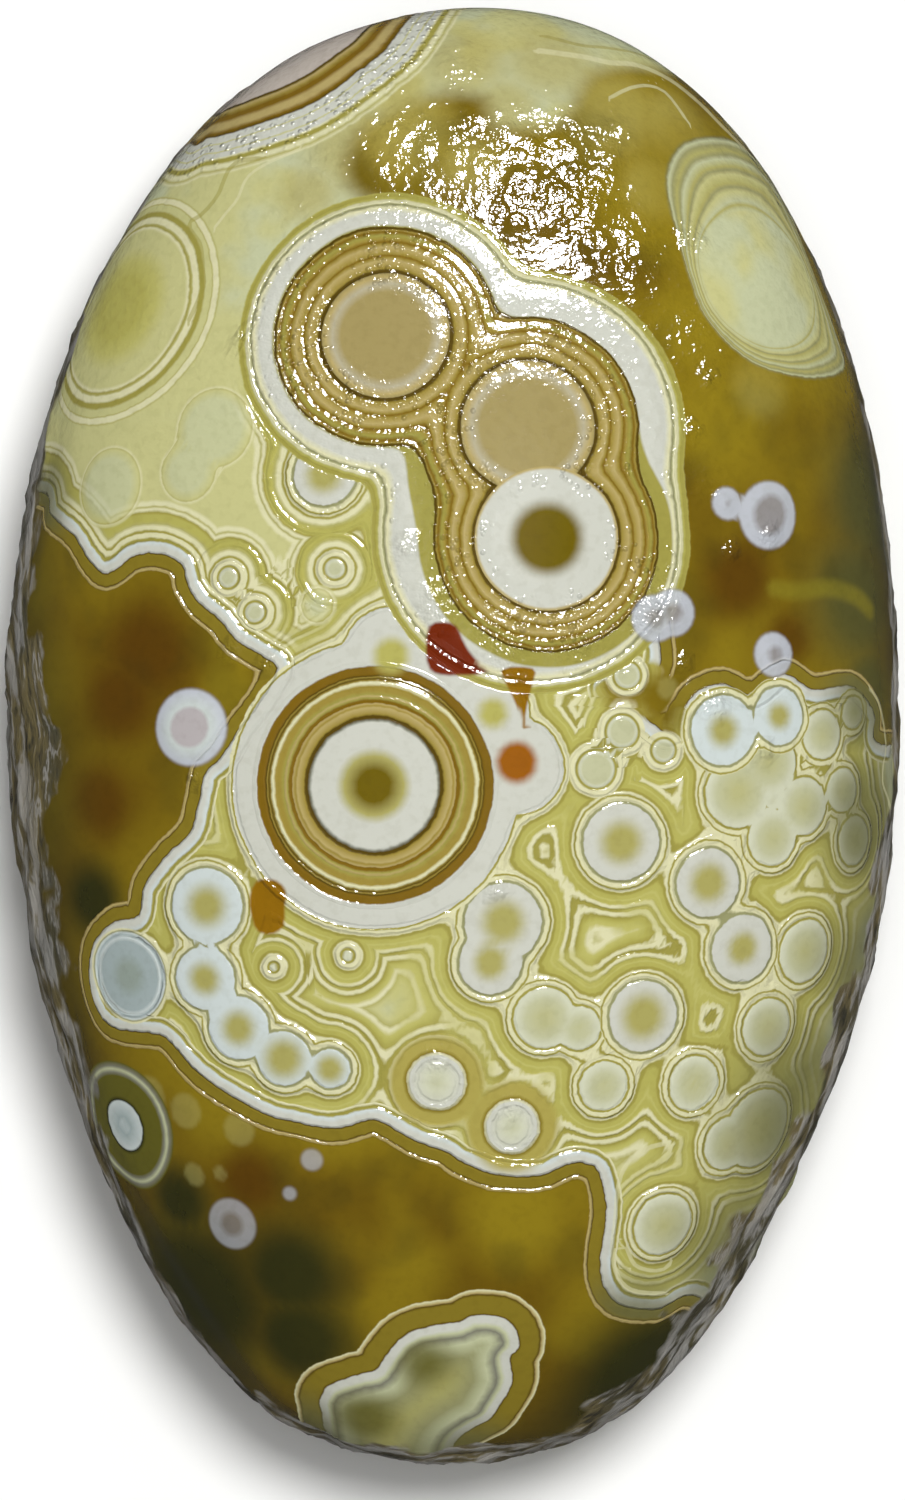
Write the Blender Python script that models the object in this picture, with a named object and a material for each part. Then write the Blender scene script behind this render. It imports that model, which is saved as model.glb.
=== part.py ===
"""A desert agate pebble: one solid egg-shaped stone, domed above, that rests on a small flat spot.

Metres, +Z up. The long way of the stone runs along Y, with its blunt end at +Y and its narrow end at -Y,
and the origin is the middle of the ground under it. Run with: blender --background --python part.py
"""

import math

import bmesh
import bpy
from mathutils import Matrix, Vector, noise

# Driving dimensions of the pebble, in metres
LENGTH = 0.0500
WIDTH = 0.0305
CROWN_HEIGHT = 0.0088  # from the widest line up to the top of the dome
KEEL_DEPTH = 0.0082  # from the widest line down to the flat spot
FULL_KEEL_DEPTH = 0.0087  # how deep the underside would be without its flat spot
CROWN_FULLNESS = 2.05  # 2 is an ellipse in side view, more is squarer
KEEL_FULLNESS = 2.25

# How far the outline stands out from a plain ellipse, at even bearings, anticlockwise from +X
OUTLINE_SWELL = (
    1.002, 1.027, 1.047, 1.029, 1.001, 1.008, 1.020, 1.020,
    1.001, 0.983, 1.000, 1.020, 1.000, 1.004, 0.972, 0.986,
)

# The worn surface: broad swells, and ledges and creases where the flank was never smoothed
SWELL_SIZE = 0.0095
SWELL_HEIGHT = 0.00016
LEDGE_LENGTH = 0.0052
LEDGE_THICKNESS = 0.0015
LEDGE_HEIGHT = 0.00030
PIT_SPACING = 0.0034
PIT_DEPTH = 0.00022
PIT_REACH = 0.55  # a pit's radius as a share of the spacing
LEDGE_SHIFT = Vector((7.0, 3.0, 1.0))  # keeps the ledges from following the swells
ROUGH_FROM_HEIGHT = 0.50  # share of the crown's height where the roughness begins to show
# How rough the flank is at even bearings, anticlockwise from +X: smoothest at the back, roughest at the left
FLANK_ROUGHNESS = (0.35, 0.15, 0.15, 0.30, 1.00, 0.70, 0.60, 0.95)

# Worn flat scars: bearing and tilt of each face in degrees, and depth of the cut in metres
FLAKE_SCARS = (
    (184, -28, 0.00022),
    (218, -34, 0.00025),
    (250, -30, 0.00020),
    (292, -34, 0.00025),
    (322, -26, 0.00022),
    (318, 30, 0.00008),
    (174, 24, 0.00010),
    (22, -38, 0.00028),
    (92, -36, 0.00022),
    (146, -34, 0.00025),
)
SCAR_SOFTNESS = 0.00012

FACES_ALONG_SIDE = 28  # of the cube that is blown up into the stone
STONE_COLOUR = (0.36, 0.33, 0.12, 1.0)
STONE_ROUGHNESS = 0.16


def clear_scene():
    for obj in list(bpy.data.objects):
        bpy.data.objects.remove(obj)


def wave_through(values, bearing):
    """A smooth wave round the stone that passes through the values, which stand at even bearings."""
    count = len(values)
    total = 0.0
    for index, value in enumerate(values):
        away = bearing - 2 * math.pi * index / count
        harmonics = sum(math.cos(k * away) for k in range(1, count // 2))
        total += value * (1 + 2 * harmonics + math.cos(count // 2 * away)) / count
    return total


def smooth_step(low, high, value):
    share = min(1.0, max(0.0, (value - low) / (high - low)))
    return share * share * (3 - 2 * share)


def stone_point(direction):
    """The smooth pebble's surface in this direction, before wear."""
    level = math.hypot(direction.x, direction.y)
    above = direction.z >= 0
    fullness = CROWN_FULLNESS if above else KEEL_FULLNESS
    stretch = (level**fullness + abs(direction.z) ** fullness) ** (-1 / fullness)
    swell = wave_through(OUTLINE_SWELL, math.atan2(direction.y, direction.x)) * stretch
    height = (CROWN_HEIGHT if above else FULL_KEEL_DEPTH) * direction.z * stretch
    return Vector((WIDTH / 2 * direction.x * swell, LENGTH / 2 * direction.y * swell, height))


def roughness_at(direction, point):
    """0 on the polished dome, 1 on the rough flank and underside."""
    below = 1 - smooth_step(0.0, ROUGH_FROM_HEIGHT * CROWN_HEIGHT, point.z)
    return below * wave_through(FLANK_ROUGHNESS, math.atan2(direction.y, direction.x))


def wear(direction, point):
    """How far the worn surface stands out from the smooth pebble, in metres."""
    swell = noise.noise(point / SWELL_SIZE) * SWELL_HEIGHT
    along = Vector((point.x, point.y, point.z * LEDGE_LENGTH / LEDGE_THICKNESS)) / LEDGE_LENGTH
    ledge = 1 - 2 * abs(noise.noise(along + LEDGE_SHIFT))
    near, _ = noise.voronoi(point / PIT_SPACING)
    pit = 1 - smooth_step(0.0, PIT_REACH, near[0])
    return swell + roughness_at(direction, point) * (ledge * LEDGE_HEIGHT - pit * PIT_DEPTH)


def worn_point(direction):
    """The worn surface in this direction, before the scars are cut."""
    smooth = stone_point(direction)
    outward = Vector((smooth.x / WIDTH**2, smooth.y / LENGTH**2, smooth.z / (2 * CROWN_HEIGHT) ** 2))
    return smooth + outward.normalized() * wear(direction, smooth)


def cut_scars(points):
    """Pulls the points that stand outside each scar's plane back to it, softly at the scar's edge."""
    for bearing, tilt, depth in FLAKE_SCARS:
        turn, lean = math.radians(bearing), math.radians(tilt)
        outward = Vector((math.cos(turn) * math.cos(lean), math.sin(turn) * math.cos(lean), math.sin(lean)))
        limit = max(point.dot(outward) for point in points) - depth
        for point in points:
            outside = point.dot(outward) - limit
            if outside > 0:
                point -= outward * (outside * outside / (outside + SCAR_SOFTNESS))


def round_cube():
    """A sphere of even four-sided faces, from a cube."""
    bpy.ops.mesh.primitive_cube_add(size=2)
    stone = bpy.context.object
    mesh = bmesh.new()
    mesh.from_mesh(stone.data)
    bmesh.ops.subdivide_edges(mesh, edges=mesh.edges[:], cuts=FACES_ALONG_SIDE - 1, use_grid_fill=True)
    for vertex in mesh.verts:
        vertex.co = Vector([math.tan(share * math.pi / 4) for share in vertex.co]).normalized()
    return stone, mesh


def set_down(mesh):
    """Brings the stone to its exact length and width, centred over the origin on its flat spot."""
    low = Vector([min(vertex.co[axis] for vertex in mesh.verts) for axis in range(3)])
    high = Vector([max(vertex.co[axis] for vertex in mesh.verts) for axis in range(3)])
    shift = Vector((-(low.x + high.x) / 2, -(low.y + high.y) / 2, -low.z))
    size = Matrix.Diagonal((WIDTH / (high.x - low.x), LENGTH / (high.y - low.y), 1, 1))
    bmesh.ops.transform(mesh, matrix=size @ Matrix.Translation(shift), verts=mesh.verts[:])


def make_agate():
    """The whole pebble: smooth form, wear, scars, and the flat spot that it rests on."""
    stone, mesh = round_cube()
    points = [worn_point(vertex.co) for vertex in mesh.verts]
    cut_scars(points)
    for vertex, point in zip(mesh.verts, points):
        vertex.co = (point.x, point.y, max(point.z, -KEEL_DEPTH))
    set_down(mesh)
    mesh.to_mesh(stone.data)
    mesh.free()
    stone.name = stone.data.name = "agate"
    stone.data.shade_smooth()
    return stone


def stone_material():
    material = bpy.data.materials.new("agate_stone")
    material.use_nodes = True
    shader = material.node_tree.nodes["Principled BSDF"]
    shader.inputs["Base Color"].default_value = STONE_COLOUR
    shader.inputs["Roughness"].default_value = STONE_ROUGHNESS
    shader.inputs["Metallic"].default_value = 0.0
    return material


def main():
    clear_scene()
    collection = bpy.data.collections.new("gobi_agate")
    bpy.context.scene.collection.children.link(collection)
    stone = make_agate()
    stone.data.materials.append(stone_material())
    for old in list(stone.users_collection):
        old.objects.unlink(stone)
    collection.objects.link(stone)


main()
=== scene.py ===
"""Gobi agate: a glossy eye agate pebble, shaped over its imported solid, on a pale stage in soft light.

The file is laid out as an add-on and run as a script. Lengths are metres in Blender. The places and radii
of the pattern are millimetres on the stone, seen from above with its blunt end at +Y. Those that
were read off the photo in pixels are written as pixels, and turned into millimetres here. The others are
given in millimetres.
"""

import math
from collections import namedtuple
from functools import reduce

import bpy
import numpy as np
from bpy.props import FloatProperty, FloatVectorProperty, IntVectorProperty, PointerProperty
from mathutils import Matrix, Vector, kdtree, noise
from mathutils.bvhtree import BVHTree


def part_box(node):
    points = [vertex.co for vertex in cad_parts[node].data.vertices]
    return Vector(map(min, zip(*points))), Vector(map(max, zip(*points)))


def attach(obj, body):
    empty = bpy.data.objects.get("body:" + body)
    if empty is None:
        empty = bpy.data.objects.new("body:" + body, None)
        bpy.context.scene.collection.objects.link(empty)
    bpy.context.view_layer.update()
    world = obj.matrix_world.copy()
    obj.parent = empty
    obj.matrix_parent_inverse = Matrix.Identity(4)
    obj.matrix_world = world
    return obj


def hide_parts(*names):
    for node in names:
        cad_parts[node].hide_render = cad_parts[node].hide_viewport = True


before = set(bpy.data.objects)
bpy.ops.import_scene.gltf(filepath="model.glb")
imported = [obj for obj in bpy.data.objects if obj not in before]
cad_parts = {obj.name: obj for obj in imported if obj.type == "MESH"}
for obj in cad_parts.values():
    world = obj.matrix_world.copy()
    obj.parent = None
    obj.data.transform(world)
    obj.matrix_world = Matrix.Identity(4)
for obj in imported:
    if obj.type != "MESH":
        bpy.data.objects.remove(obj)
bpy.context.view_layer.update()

bl_info = {
    "name": "Gobi agate",
    "version": (1, 0, 0),
    "blender": (4, 5, 0),
    "location": "View3D > Sidebar > Agate",
    "description": "Shapes, bands and stages a gobi eye agate",
    "category": "Object",
}

MM = 0.001
PIECE = "agate_stone"
SOLID = "agate"

WIDEST_LINE = 0.0082
HALF_SIZE = (0.01525, 0.025, 0.0087)
WELD = 0.000001
BLOCK_HEIGHT = 0.6  # of the block that is blown up into the stone, as a share of its width

# The camera, in metres, and the stage
LENS = 300.0
SENSOR = 36.0
FRAME_HEIGHT = 0.05166
VIEWPOINT = Vector((0.0, -0.00058, WIDEST_LINE + FRAME_HEIGHT * LENS / SENSOR))
FLOOR_SIZE = 4
FLOOR_ROUGHNESS = 0.9
WORLD_STRENGTH = 0.06
# Place and width of each light
SOFT_LIGHT = ((0.07, 0.13, 0.61), 0.17)
FILL_LIGHT = ((-0.02, -0.02, 0.80), 0.5)
SPARK_LIGHT = ((0.10, 0.40, 0.44), 0.22)

# The photo, 905 by 1500 pixels: the pixel over the stone's middle, and millimetres on the stone to a pixel
MIDDLE_PIXEL = (453, 733)
PIXEL = 0.03444
EYE_STEP = 0.05  # what an eye's place and radius can be read to
LINE_DECIMALS = 1  # what a place on an outline can be read to

LINE_STEP = 0.05  # between the places that a curve is drawn through
LINE_NEAR = 9.0  # how far from a curve its distances are worked out
SOFTENINGS = 3
FILLET = 0.8
GIRTH = 20.0
SHAKEN = (
    "zone", "eye_gap", "great", "trio_rim", "trio_line", "trio_disc", "corner", "left", "end", "white_gap",
    "chain_gap", "pale_gap", "halo_gap", "body_gap", "upper_edge",
)
SHAKE = 0.1
GRAIN_SIZE = 0.34
EYE_ROUNDING = 0.06
WOBBLE = 0.035
WOBBLE_SIZE = 1.4

# The carved surface: plates, the ridges of the crust, the line at the pale zone's edge, the triple eye's rim
PLATE_SIZE = 1.35
PLATE_HEIGHT = 0.1
PLATE_LEAN = 0.35
PLATE_SHUFFLE = 5.3  # keeps the leans of neighbouring plates apart
PLATE_SEAM = (0.02, 0.2)
RIDGE_SIZE = 1.0
RIDGE_HEIGHT = 0.22
RIDGE_LENGTHENING = 0.3  # how much slower the ridges change round the stone than up it
RIDGES_FROM = (-0.3, 1.2)
EDGE_LINE_HEIGHT = 0.07
EDGE_LINE_PLACE = -0.17
EDGE_LINE_REACH = 0.3
TRIO_BAND_HEIGHT = 0.3
CARVED_FROM = (0.2, 1.5)  # heights above the floor where the carving comes in

# The gloss, and the depths of its lines, grit and beads in millimetres
GLOSS_ROUGHNESS = 0.1
AGATE_IOR = 1.54
LINE_DEPTH = 0.08
LEAST_GRIT = 0.006
MOST_GRIT = 0.1
BEAD_DEPTH = 0.065
BEADS_PER_MM = 4.0
BEAD_EDGE = (0.46, 0.1)
SPECKLE_TONE = (0.8, 0.79, 0.74)

# The crust
CRUST_ROUGHNESS = 0.4
CRUST_IOR = 1.5
CRUST_LENGTHENING = 0.24
CRUST_GRAIN = 0.42
CRUST_DEPTH = 0.22
FRAYING = 2.2

Eye = namedtuple("Eye", "across along radius pupil", defaults=(0.0,))
Ball = namedtuple("Ball", "across along up radius pupil", defaults=(0.0,))


def display(red, green, blue):
    """A colour in display values from 0 to 255, as the linear light that nodes and properties hold."""
    shares = [value / 255 for value in (red, green, blue)]
    return tuple(s / 12.92 if s <= 0.04045 else ((s + 0.055) / 1.055) ** 2.4 for s in shares)


def from_middle(across, down):
    """Millimetres on the stone from its middle to a pixel of the photo."""
    return (across - MIDDLE_PIXEL[0]) * PIXEL, (MIDDLE_PIXEL[1] - down) * PIXEL


def to_step(length):
    """The length, rounded to what can be read off the photo."""
    return round(round(length / EYE_STEP) * EYE_STEP, 2)


def seen_eyes(*rows):
    """Eyes from the pixel across, the pixel down, the radius and the pupil's radius in the photo."""
    return tuple(
        Eye(*map(to_step, (*from_middle(across, down), *(size * PIXEL for size in sizes))))
        for across, down, *sizes in rows)


def seen_line(*places):
    """Places along a line on the stone, from pixels of the photo."""
    return tuple(tuple(round(length, LINE_DECIMALS) for length in from_middle(*place)) for place in places)


# The great eye
GREAT_EYE = seen_eyes((375, 785.5, 118))
# The triple eye: its discs, the dark line round its rings, its olive edge and its white outline
TRIO_DISCS = seen_eyes((386.5, 334.5, 64), (528, 427, 67), (548, 538, 71))
TRIO_LINE = seen_eyes((386.5, 334.5, 112), (528, 427, 110), (548, 538, 112))
TRIO_EDGE = seen_eyes((386.5, 334.5, 113), (528, 427, 111), (548, 538, 127), (505, 470, 95))
TRIO_OUTLINE = seen_eyes((386.5, 334.5, 132), (528, 427, 142), (548, 538, 124), (530, 534, 139))
# White bodies round the great eye, with the pupils set in them
WHITE_BODIES = seen_eyes(
    (375, 785.5, 147), (392, 655, 52), (492, 713, 42), (517.5, 766, 52), (447, 655, 40), (470, 690, 38),
    (430, 640, 30),
)
BODY_PUPILS = seen_eyes((392, 656, 18), (493, 713, 14))
ORANGE_PUPIL = seen_eyes((517.5, 762, 20))
# Eyes with a white body inside a cream rim
WHITE_EYES = seen_eyes(
    (622, 842, 48, 20), (708, 883, 44, 19), (504, 922, 48, 20), (491, 963, 41, 16), (742, 948, 43, 16),
) + (Eye(6.55, -9.75, 1.55, 0.75), Eye(-4.4, 8.9, 1.4, 0.6))
# Bluish white eyes: the chain at the lower left, and two at the right
CHAIN_EYES = seen_eyes(
    (208, 906, 47, 21), (206, 978, 41, 16), (240, 1027, 41, 18), (285, 1058, 36, 20), (331, 1069, 29, 15),
) + (Eye(9.3, 0.1, 1.5, 0.55), Eye(11.2, 0.6, 1.3, 0.45))
# Discs of even pale stone inside a cream rim
PALE_DISCS = seen_eyes(
    (804, 951, 40), (545, 1018, 39), (580, 1027, 31), (604, 1086, 33), (694, 1083, 36), (766, 1026, 38),
    (727, 1142, 36), (758, 1128, 50), (664, 1224, 41), (737, 792, 44), (768, 762, 40), (773, 838, 37),
    (803, 806, 38),
) + (Eye(11.0, -2.3, 0.6),) + seen_eyes(
    (822, 735, 34), (852, 712, 24), (842, 790, 30),
) + (Eye(13.8, -3.7, 1.15),)
# Discs that lie in an olive halo
HALO_DISCS = seen_eyes((437, 1082, 29), (513, 1126, 28))
# The plain bubbles of the pale upper left
BUBBLES = (
    Eye(-9.1, 9.0, 1.15), Eye(-8.2, 10.5, 1.5), Eye(-11.8, 8.5, 1.45), Eye(-4.65, 4.4, 0.7),
)
# Small seeds with a cream rim
SEEDS = seen_eyes(
    (623, 732, 23), (597, 770, 26), (664, 750, 19), (627, 675, 20), (230, 578, 18), (256, 613, 17),
) + (Eye(-4.05, 5.65, 0.6),) + seen_eyes((275, 967, 11), (348, 955, 13))
# The blue disc at the end of the chain
BLUE_DISC = (Eye(-11.15, -8.35, 1.65),)
# Faint rings and lumps deep in the amber
SHADOW_RINGS = seen_eyes(
    (668, 688, 13), (194, 1174, 14), (221, 1173, 10), (186, 1111, 20), (240, 1129, 19), (150, 1095, 22),
)
# Lavender discs that float in the amber
LAVENDER_DISCS = seen_eyes(
    (768, 517, 33), (770, 512, 32), (727, 503, 18), (774, 655, 23), (672, 612, 25), (655, 618, 25),
)
GREY_DISCS = seen_eyes((232, 1223, 28)) + (Eye(-4.85, -14.7, 0.42), Eye(-5.6, -15.85, 0.28))
LILAC_DISC = seen_eyes((192, 727, 39))
# Ring systems that run over the rim: upper left, upper right and lower left
LEFT_EYE = seen_eyes((121, 308, 100))
UPPER_EYE = seen_eyes((762, 277, 73))
RIM_EYE = (Eye(-11.3, -13.5, 2.3),)
# Edge of the pale stone round the eyes, seen from above, past the rim where it runs on down the flank
PALE_EDGE = seen_line(
    (580, -60), (400, -90), (150, -40), (-60, 250), (-50, 500), (40, 492), (52, 515), (76, 535), (90, 560),
    (104, 572), (120, 567), (134, 556), (160, 553), (182, 566), (188, 585), (200, 602), (222, 620),
    (234, 637), (252, 648), (268, 657), (278, 670), (262, 700), (240, 728), (225, 757), (206, 775),
    (201, 800), (193, 832), (165, 857), (146, 888), (140, 915), (116, 923), (96, 942), (89, 970),
    (95, 1003), (112, 1026), (150, 1031), (168, 1037), (203, 1075), (262, 1110), (298, 1122), (336, 1128),
    (374, 1120), (396, 1128), (422, 1141), (447, 1150), (466, 1163), (500, 1175), (540, 1174), (572, 1164),
    (592, 1166), (602, 1176), (607, 1210), (601, 1260), (604, 1286), (622, 1304), (660, 1308), (700, 1296),
    (760, 1360), (900, 1240), (960, 950), (960, 760), (880, 744), (874, 712), (852, 686), (812, 690),
    (783, 676), (752, 694), (722, 684), (696, 692), (682, 714), (672, 732), (650, 722), (636, 704),
    (612, 700), (606, 684), (642, 680), (660, 640), (600, 450), (500, 290), (400, 215), (352, 185),
    (360, 135), (420, 100), (480, 98), (500, 130), (560, 120), (600, 70), (690, 80), (760, 150), (860, 60),
)
# Stretches where the pale stone fades into the amber with no white line
EDGE_BREAKS = seen_eyes(
    (350, 130, 70), (450, 90, 90), (560, 80, 90), (640, 90, 60), (700, 110, 60), (460, 210, 90),
    (560, 340, 110), (640, 540, 110), (648, 690, 40), (612, 700, 32), (680, 725, 26), (905, 790, 90),
    (905, 900, 100), (880, 1050, 90), (820, 1200, 110), (-30, 380, 110),
)
# Outline of the banded stone round the upper right eye
UPPER_ZONE = (
    (7.45, 19.65), (7.35, 18.75), (7.7, 17.3), (8.2, 15.55), (8.8, 14.2), (9.95, 13.0), (11.15, 12.45),
    (12.6, 12.2), (13.5, 12.55), (13.2, 13.75), (12.45, 15.8), (11.45, 18.3), (10.55, 19.65), (9.7, 20.4),
    (8.8, 20.55), (7.9, 20.3),
)
# Outer brown line of the rings that run over the edge at the upper left, closed past the rim
CORNER_EDGE = (
    (-9.05, 20.3), (-8.45, 20.5), (-7.7, 20.65), (-6.45, 21.05), (-5.25, 21.5), (-4.25, 22.05), (-3.2, 22.8),
    (-2.35, 23.5), (-1.65, 24.4), (-1.25, 24.95), (-0.95, 26.3), (-4.25, 27.3), (-8.7, 25.2), (-10.4, 21.8),
)
# Outline of the pale body at the narrow end, closed past the rim, and the dark ball in it
END_BODY = (
    (-4.5, -23.2), (-4.45, -22.75), (-4.25, -22.5), (-3.8, -22.3), (-3.2, -22.1), (-2.6, -21.95),
    (-2.3, -21.5), (-1.8, -20.9), (-1.2, -20.55), (-0.45, -20.4), (0.25, -20.3), (0.6, -20.1),
    (1.0, -20.05), (1.6, -20.1), (1.95, -20.3), (2.15, -20.55), (2.25, -20.9), (2.2, -21.25), (1.95, -21.5),
    (2.05, -22.1), (1.95, -22.55), (1.55, -23.2), (1.25, -23.6), (0.6, -23.95), (0.1, -24.35),
    (-0.8, -25.55), (-3.9, -24.7),
)
END_BALLS = (Eye(-3.0, -23.5, 1.7), Eye(-1.0, -21.6, 1.5))
# Lines that wander between ring systems
PARTING = seen_line(
    (262, 158), (240, 160), (228, 170), (218, 195), (203, 214), (190, 226), (199, 245), (203, 268),
    (202, 290), (190, 322),
)
PARTING_RIM = seen_line((300, 150), (262, 166), (247, 178), (238, 198), (226, 214), (214, 227))
TOP_BAND = seen_line(
    (540, 50), (585, 57), (610, 61), (640, 66), (670, 80), (700, 103), (726, 128), (745, 148),
)
TOP_LINE = seen_line((545, 36), (580, 44), (610, 49), (640, 55), (664, 66))
TOP_ARC = seen_line((612, 97), (630, 88), (648, 85), (666, 92), (680, 108), (688, 124))
END_ARC = seen_line(
    (672, 1143), (648, 1149), (628, 1164), (618, 1186), (616, 1215), (614, 1250), (618, 1276), (634, 1290),
    (664, 1292),
)
SMILE = seen_line((627, 1248), (636, 1264), (652, 1270), (668, 1266), (672, 1261))
RIGHT_LINE = seen_line((872, 690), (880, 705), (886, 740), (884, 780), (888, 800), (889, 830))
# A bright streak in the amber at the right
FLASH = seen_line((775, 588), (800, 590), (830, 587), (856, 597), (872, 612))
# Mineral patches
RED_PATCH = seen_line(
    (430, 626), (447, 624), (459, 628), (466, 642), (476, 660), (490, 668), (476, 675), (464, 674),
    (443, 676), (429, 670), (427, 650),
)
DRIP = seen_line(
    (503, 668), (535, 670), (532, 690), (527, 716), (530, 726), (524, 727), (520, 712), (512, 692),
)
RUST_PATCH = seen_line(
    (256, 882), (268, 879), (280, 881), (287, 892), (284, 908), (284, 926), (272, 933), (258, 930),
    (252, 915), (251, 898),
)
# Middles and reaches of the clouds in the clear stone
CLOUD_BROWN = seen_eyes(
    (150, 650, 75), (120, 700, 60), (100, 800, 60), (740, 580, 55), (790, 640, 40), (250, 1180, 50),
)
CLOUD_DARK = seen_eyes((95, 900, 60), (200, 1290, 150), (300, 1340, 90)) + (
    Eye(6.45, -21.95, 4.6), Eye(8.5, -20.2, 2.6),
) + seen_eyes((180, 1200, 60)) + (Eye(-5.6, -18.6, 3.0),)
CLOUD_GREEN = (
    Eye(14.35, 8.0, 4.0), Eye(14.0, 4.6, 3.6), Eye(14.35, 1.5, 2.4),
) + seen_eyes((860, 780, 50))
CLOUD_GOLD = seen_eyes(
    (650, 90, 70), (640, 200, 90), (720, 420, 90), (420, 150, 70), (230, 690, 40), (520, 1220, 80),
    (240, 640, 40), (690, 330, 60),
)
CLOUD_GLOW = (
    Eye(5.6, 21.4, 2.6), Eye(7.6, 20.9, 2.2), Eye(9.0, 19.4, 1.9), Eye(7.0, 18.8, 1.7), Eye(10.6, 12.0, 1.5),
    Eye(-1.6, 20.8, 2.4), Eye(0.6, 19.6, 1.6),
)

# Banded eyes that stand over the rim or underneath, by their place in space
UNDER_EYES = (
    Ball(6.5, 9.0, 0.5, 2.4, 0.9), Ball(-7.5, -6.0, 0.5, 2.8, 1.1), Ball(-2.0, 16.0, 0.5, 1.9, 0.7),
    Ball(13.5, 7.0, 4.5, 1.7, 0.6), Ball(2.5, -24.0, 4.5, 1.8, 0.6), Ball(3.0, 24.5, 5.5, 2.0, 0.7),
    Ball(5.0, -9.0, 0.3, 1.5, 0.5), Ball(1.5, 1.0, 0.0, 1.7, 0.7), Ball(-10.0, 4.0, 1.5, 1.4, 0.5),
)
UNDER_HALO = 1.15

# Height above the widest line where the flank turns rough, at even bearings, anticlockwise from +X
ROUGH_HEIGHTS = (1.2, 0.6, 0.0, -0.4, -0.4, -0.4, 0.0, 1.6, 3.8, 2.7, 1.4, 1.2, 1.8, 1.9, 3.2, 2.2)

# Where painted shade darkens the pale stone towards the rim, and where gold shines through it
RIM_SHADE = (
    Eye(14.2, -8.0, 5.2), Eye(12.2, -13.0, 5.8), Eye(9.9, -17.8, 4.8), Eye(14.3, -3.0, 3.8),
    Eye(14.3, 1.2, 3.2), Eye(-14.0, 8.0, 2.4), Eye(6.0, -20.8, 3.6), Eye(-5.0, -23.8, 2.8),
    Eye(0.6, -24.8, 3.0),
)
GILDING = (
    Eye(-3.4, 20.2, 2.6), Eye(-2.2, 22.2, 2.2), Eye(0.4, 23.2, 2.6), Eye(3.4, 23.2, 2.6), Eye(6.6, 20.6, 2.2),
    Eye(-5.0, 18.6, 1.6), Eye(1.8, 21.6, 1.8),
)

# Lines and half their width
CREAM_LINES = (
    (PARTING_RIM, 0.06), (TOP_BAND, 0.13), (TOP_ARC, 0.07), (END_ARC, 0.08), (SMILE, 0.07),
    (RIGHT_LINE, 0.07),
)
OLIVE_LINES = ((PARTING, 0.09), (TOP_LINE, 0.09))

# Where the surface is hammered into sparkling plates, and where it only carries fine grit
PLATES = (
    Eye(-2.0, 20.5, 2.6), Eye(1.0, 20.6, 2.4), Eye(3.6, 20.6, 2.6), Eye(4.4, 18.4, 3.0), Eye(6.0, 16.4, 2.6),
    Eye(2.2, 18.4, 1.8), Eye(5.4, 20.4, 1.8), Eye(-2.4, 22.4, 1.6), Eye(0.2, 23.0, 1.6),
)
GRIT = (
    Eye(-0.6, 16.6, 1.7), Eye(0.8, 14.8, 1.6), Eye(-4.6, 14.4, 1.3), Eye(-3.0, 12.0, 1.4),
    Eye(3.2, 13.6, 1.6), Eye(1.0, 13.2, 1.2), Eye(0.0, 4.6, 1.4), Eye(1.8, 3.6, 1.4), Eye(4.6, 3.8, 1.6),
    Eye(7.0, 4.4, 1.6), Eye(8.6, 13.4, 2.2), Eye(8.8, 8.6, 1.4), Eye(-5.4, 17.8, 1.6), Eye(-4.2, 19.6, 1.6),
)
SPRAY = (
    Eye(-0.4, 4.5, 1.3), Eye(1.8, 3.3, 1.5), Eye(4.4, 3.3, 1.5), Eye(6.6, 4.3, 1.3), Eye(-1.6, 6.4, 0.8),
    Eye(8.3, 10.4, 0.6), Eye(8.9, 12.2, 0.7), Eye(9.6, 6.3, 0.5), Eye(8.0, 2.4, 0.5), Eye(10.8, 6.8, 0.7),
    Eye(-7.6, 3.0, 0.5), Eye(-6.4, 2.4, 0.5), Eye(9.0, 0.9, 0.7), Eye(1.5, -5.4, 0.6), Eye(-8.8, -1.6, 0.6),
    Eye(-0.6, -11.3, 0.6), Eye(2.0, -13.0, 0.5), Eye(8.3, 17.0, 0.9), Eye(-7.2, 13.6, 0.7),
    Eye(10.7, -0.6, 0.6),
)

# Domes on the eyes: field, height, and the distances where the dome begins and where it is full
SMALL_EYES = ("white", "chain", "pale", "halo", "bubble", "seed")
DOMES = (
    ("small_gap", 0.08, 0.05, -0.5), ("body_gap", 0.07, 0.1, -0.3), ("great", 0.1, 2.3, 1.4),
    ("trio_disc", 0.1, 0.05, -0.5), ("trio_rim", 0.05, 0.2, -0.1), ("upper_disc", 0.3, 0.6, -2.6),
    ("lavender_gap", 0.16, 0.1, -0.6), ("lilac_gap", 0.16, 0.1, -0.6), ("end", 0.12, 0.1, -0.8),
)

# Clouds in the clear stone: field, colour and strength
CLOUDS = (
    ("gold", "golden", 0.9), ("glow", "gilding", 0.75), ("brown", "red_brown", 0.85),
    ("green", "grey_green", 0.9), ("dark", "dark_green", 0.95),
)

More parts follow.
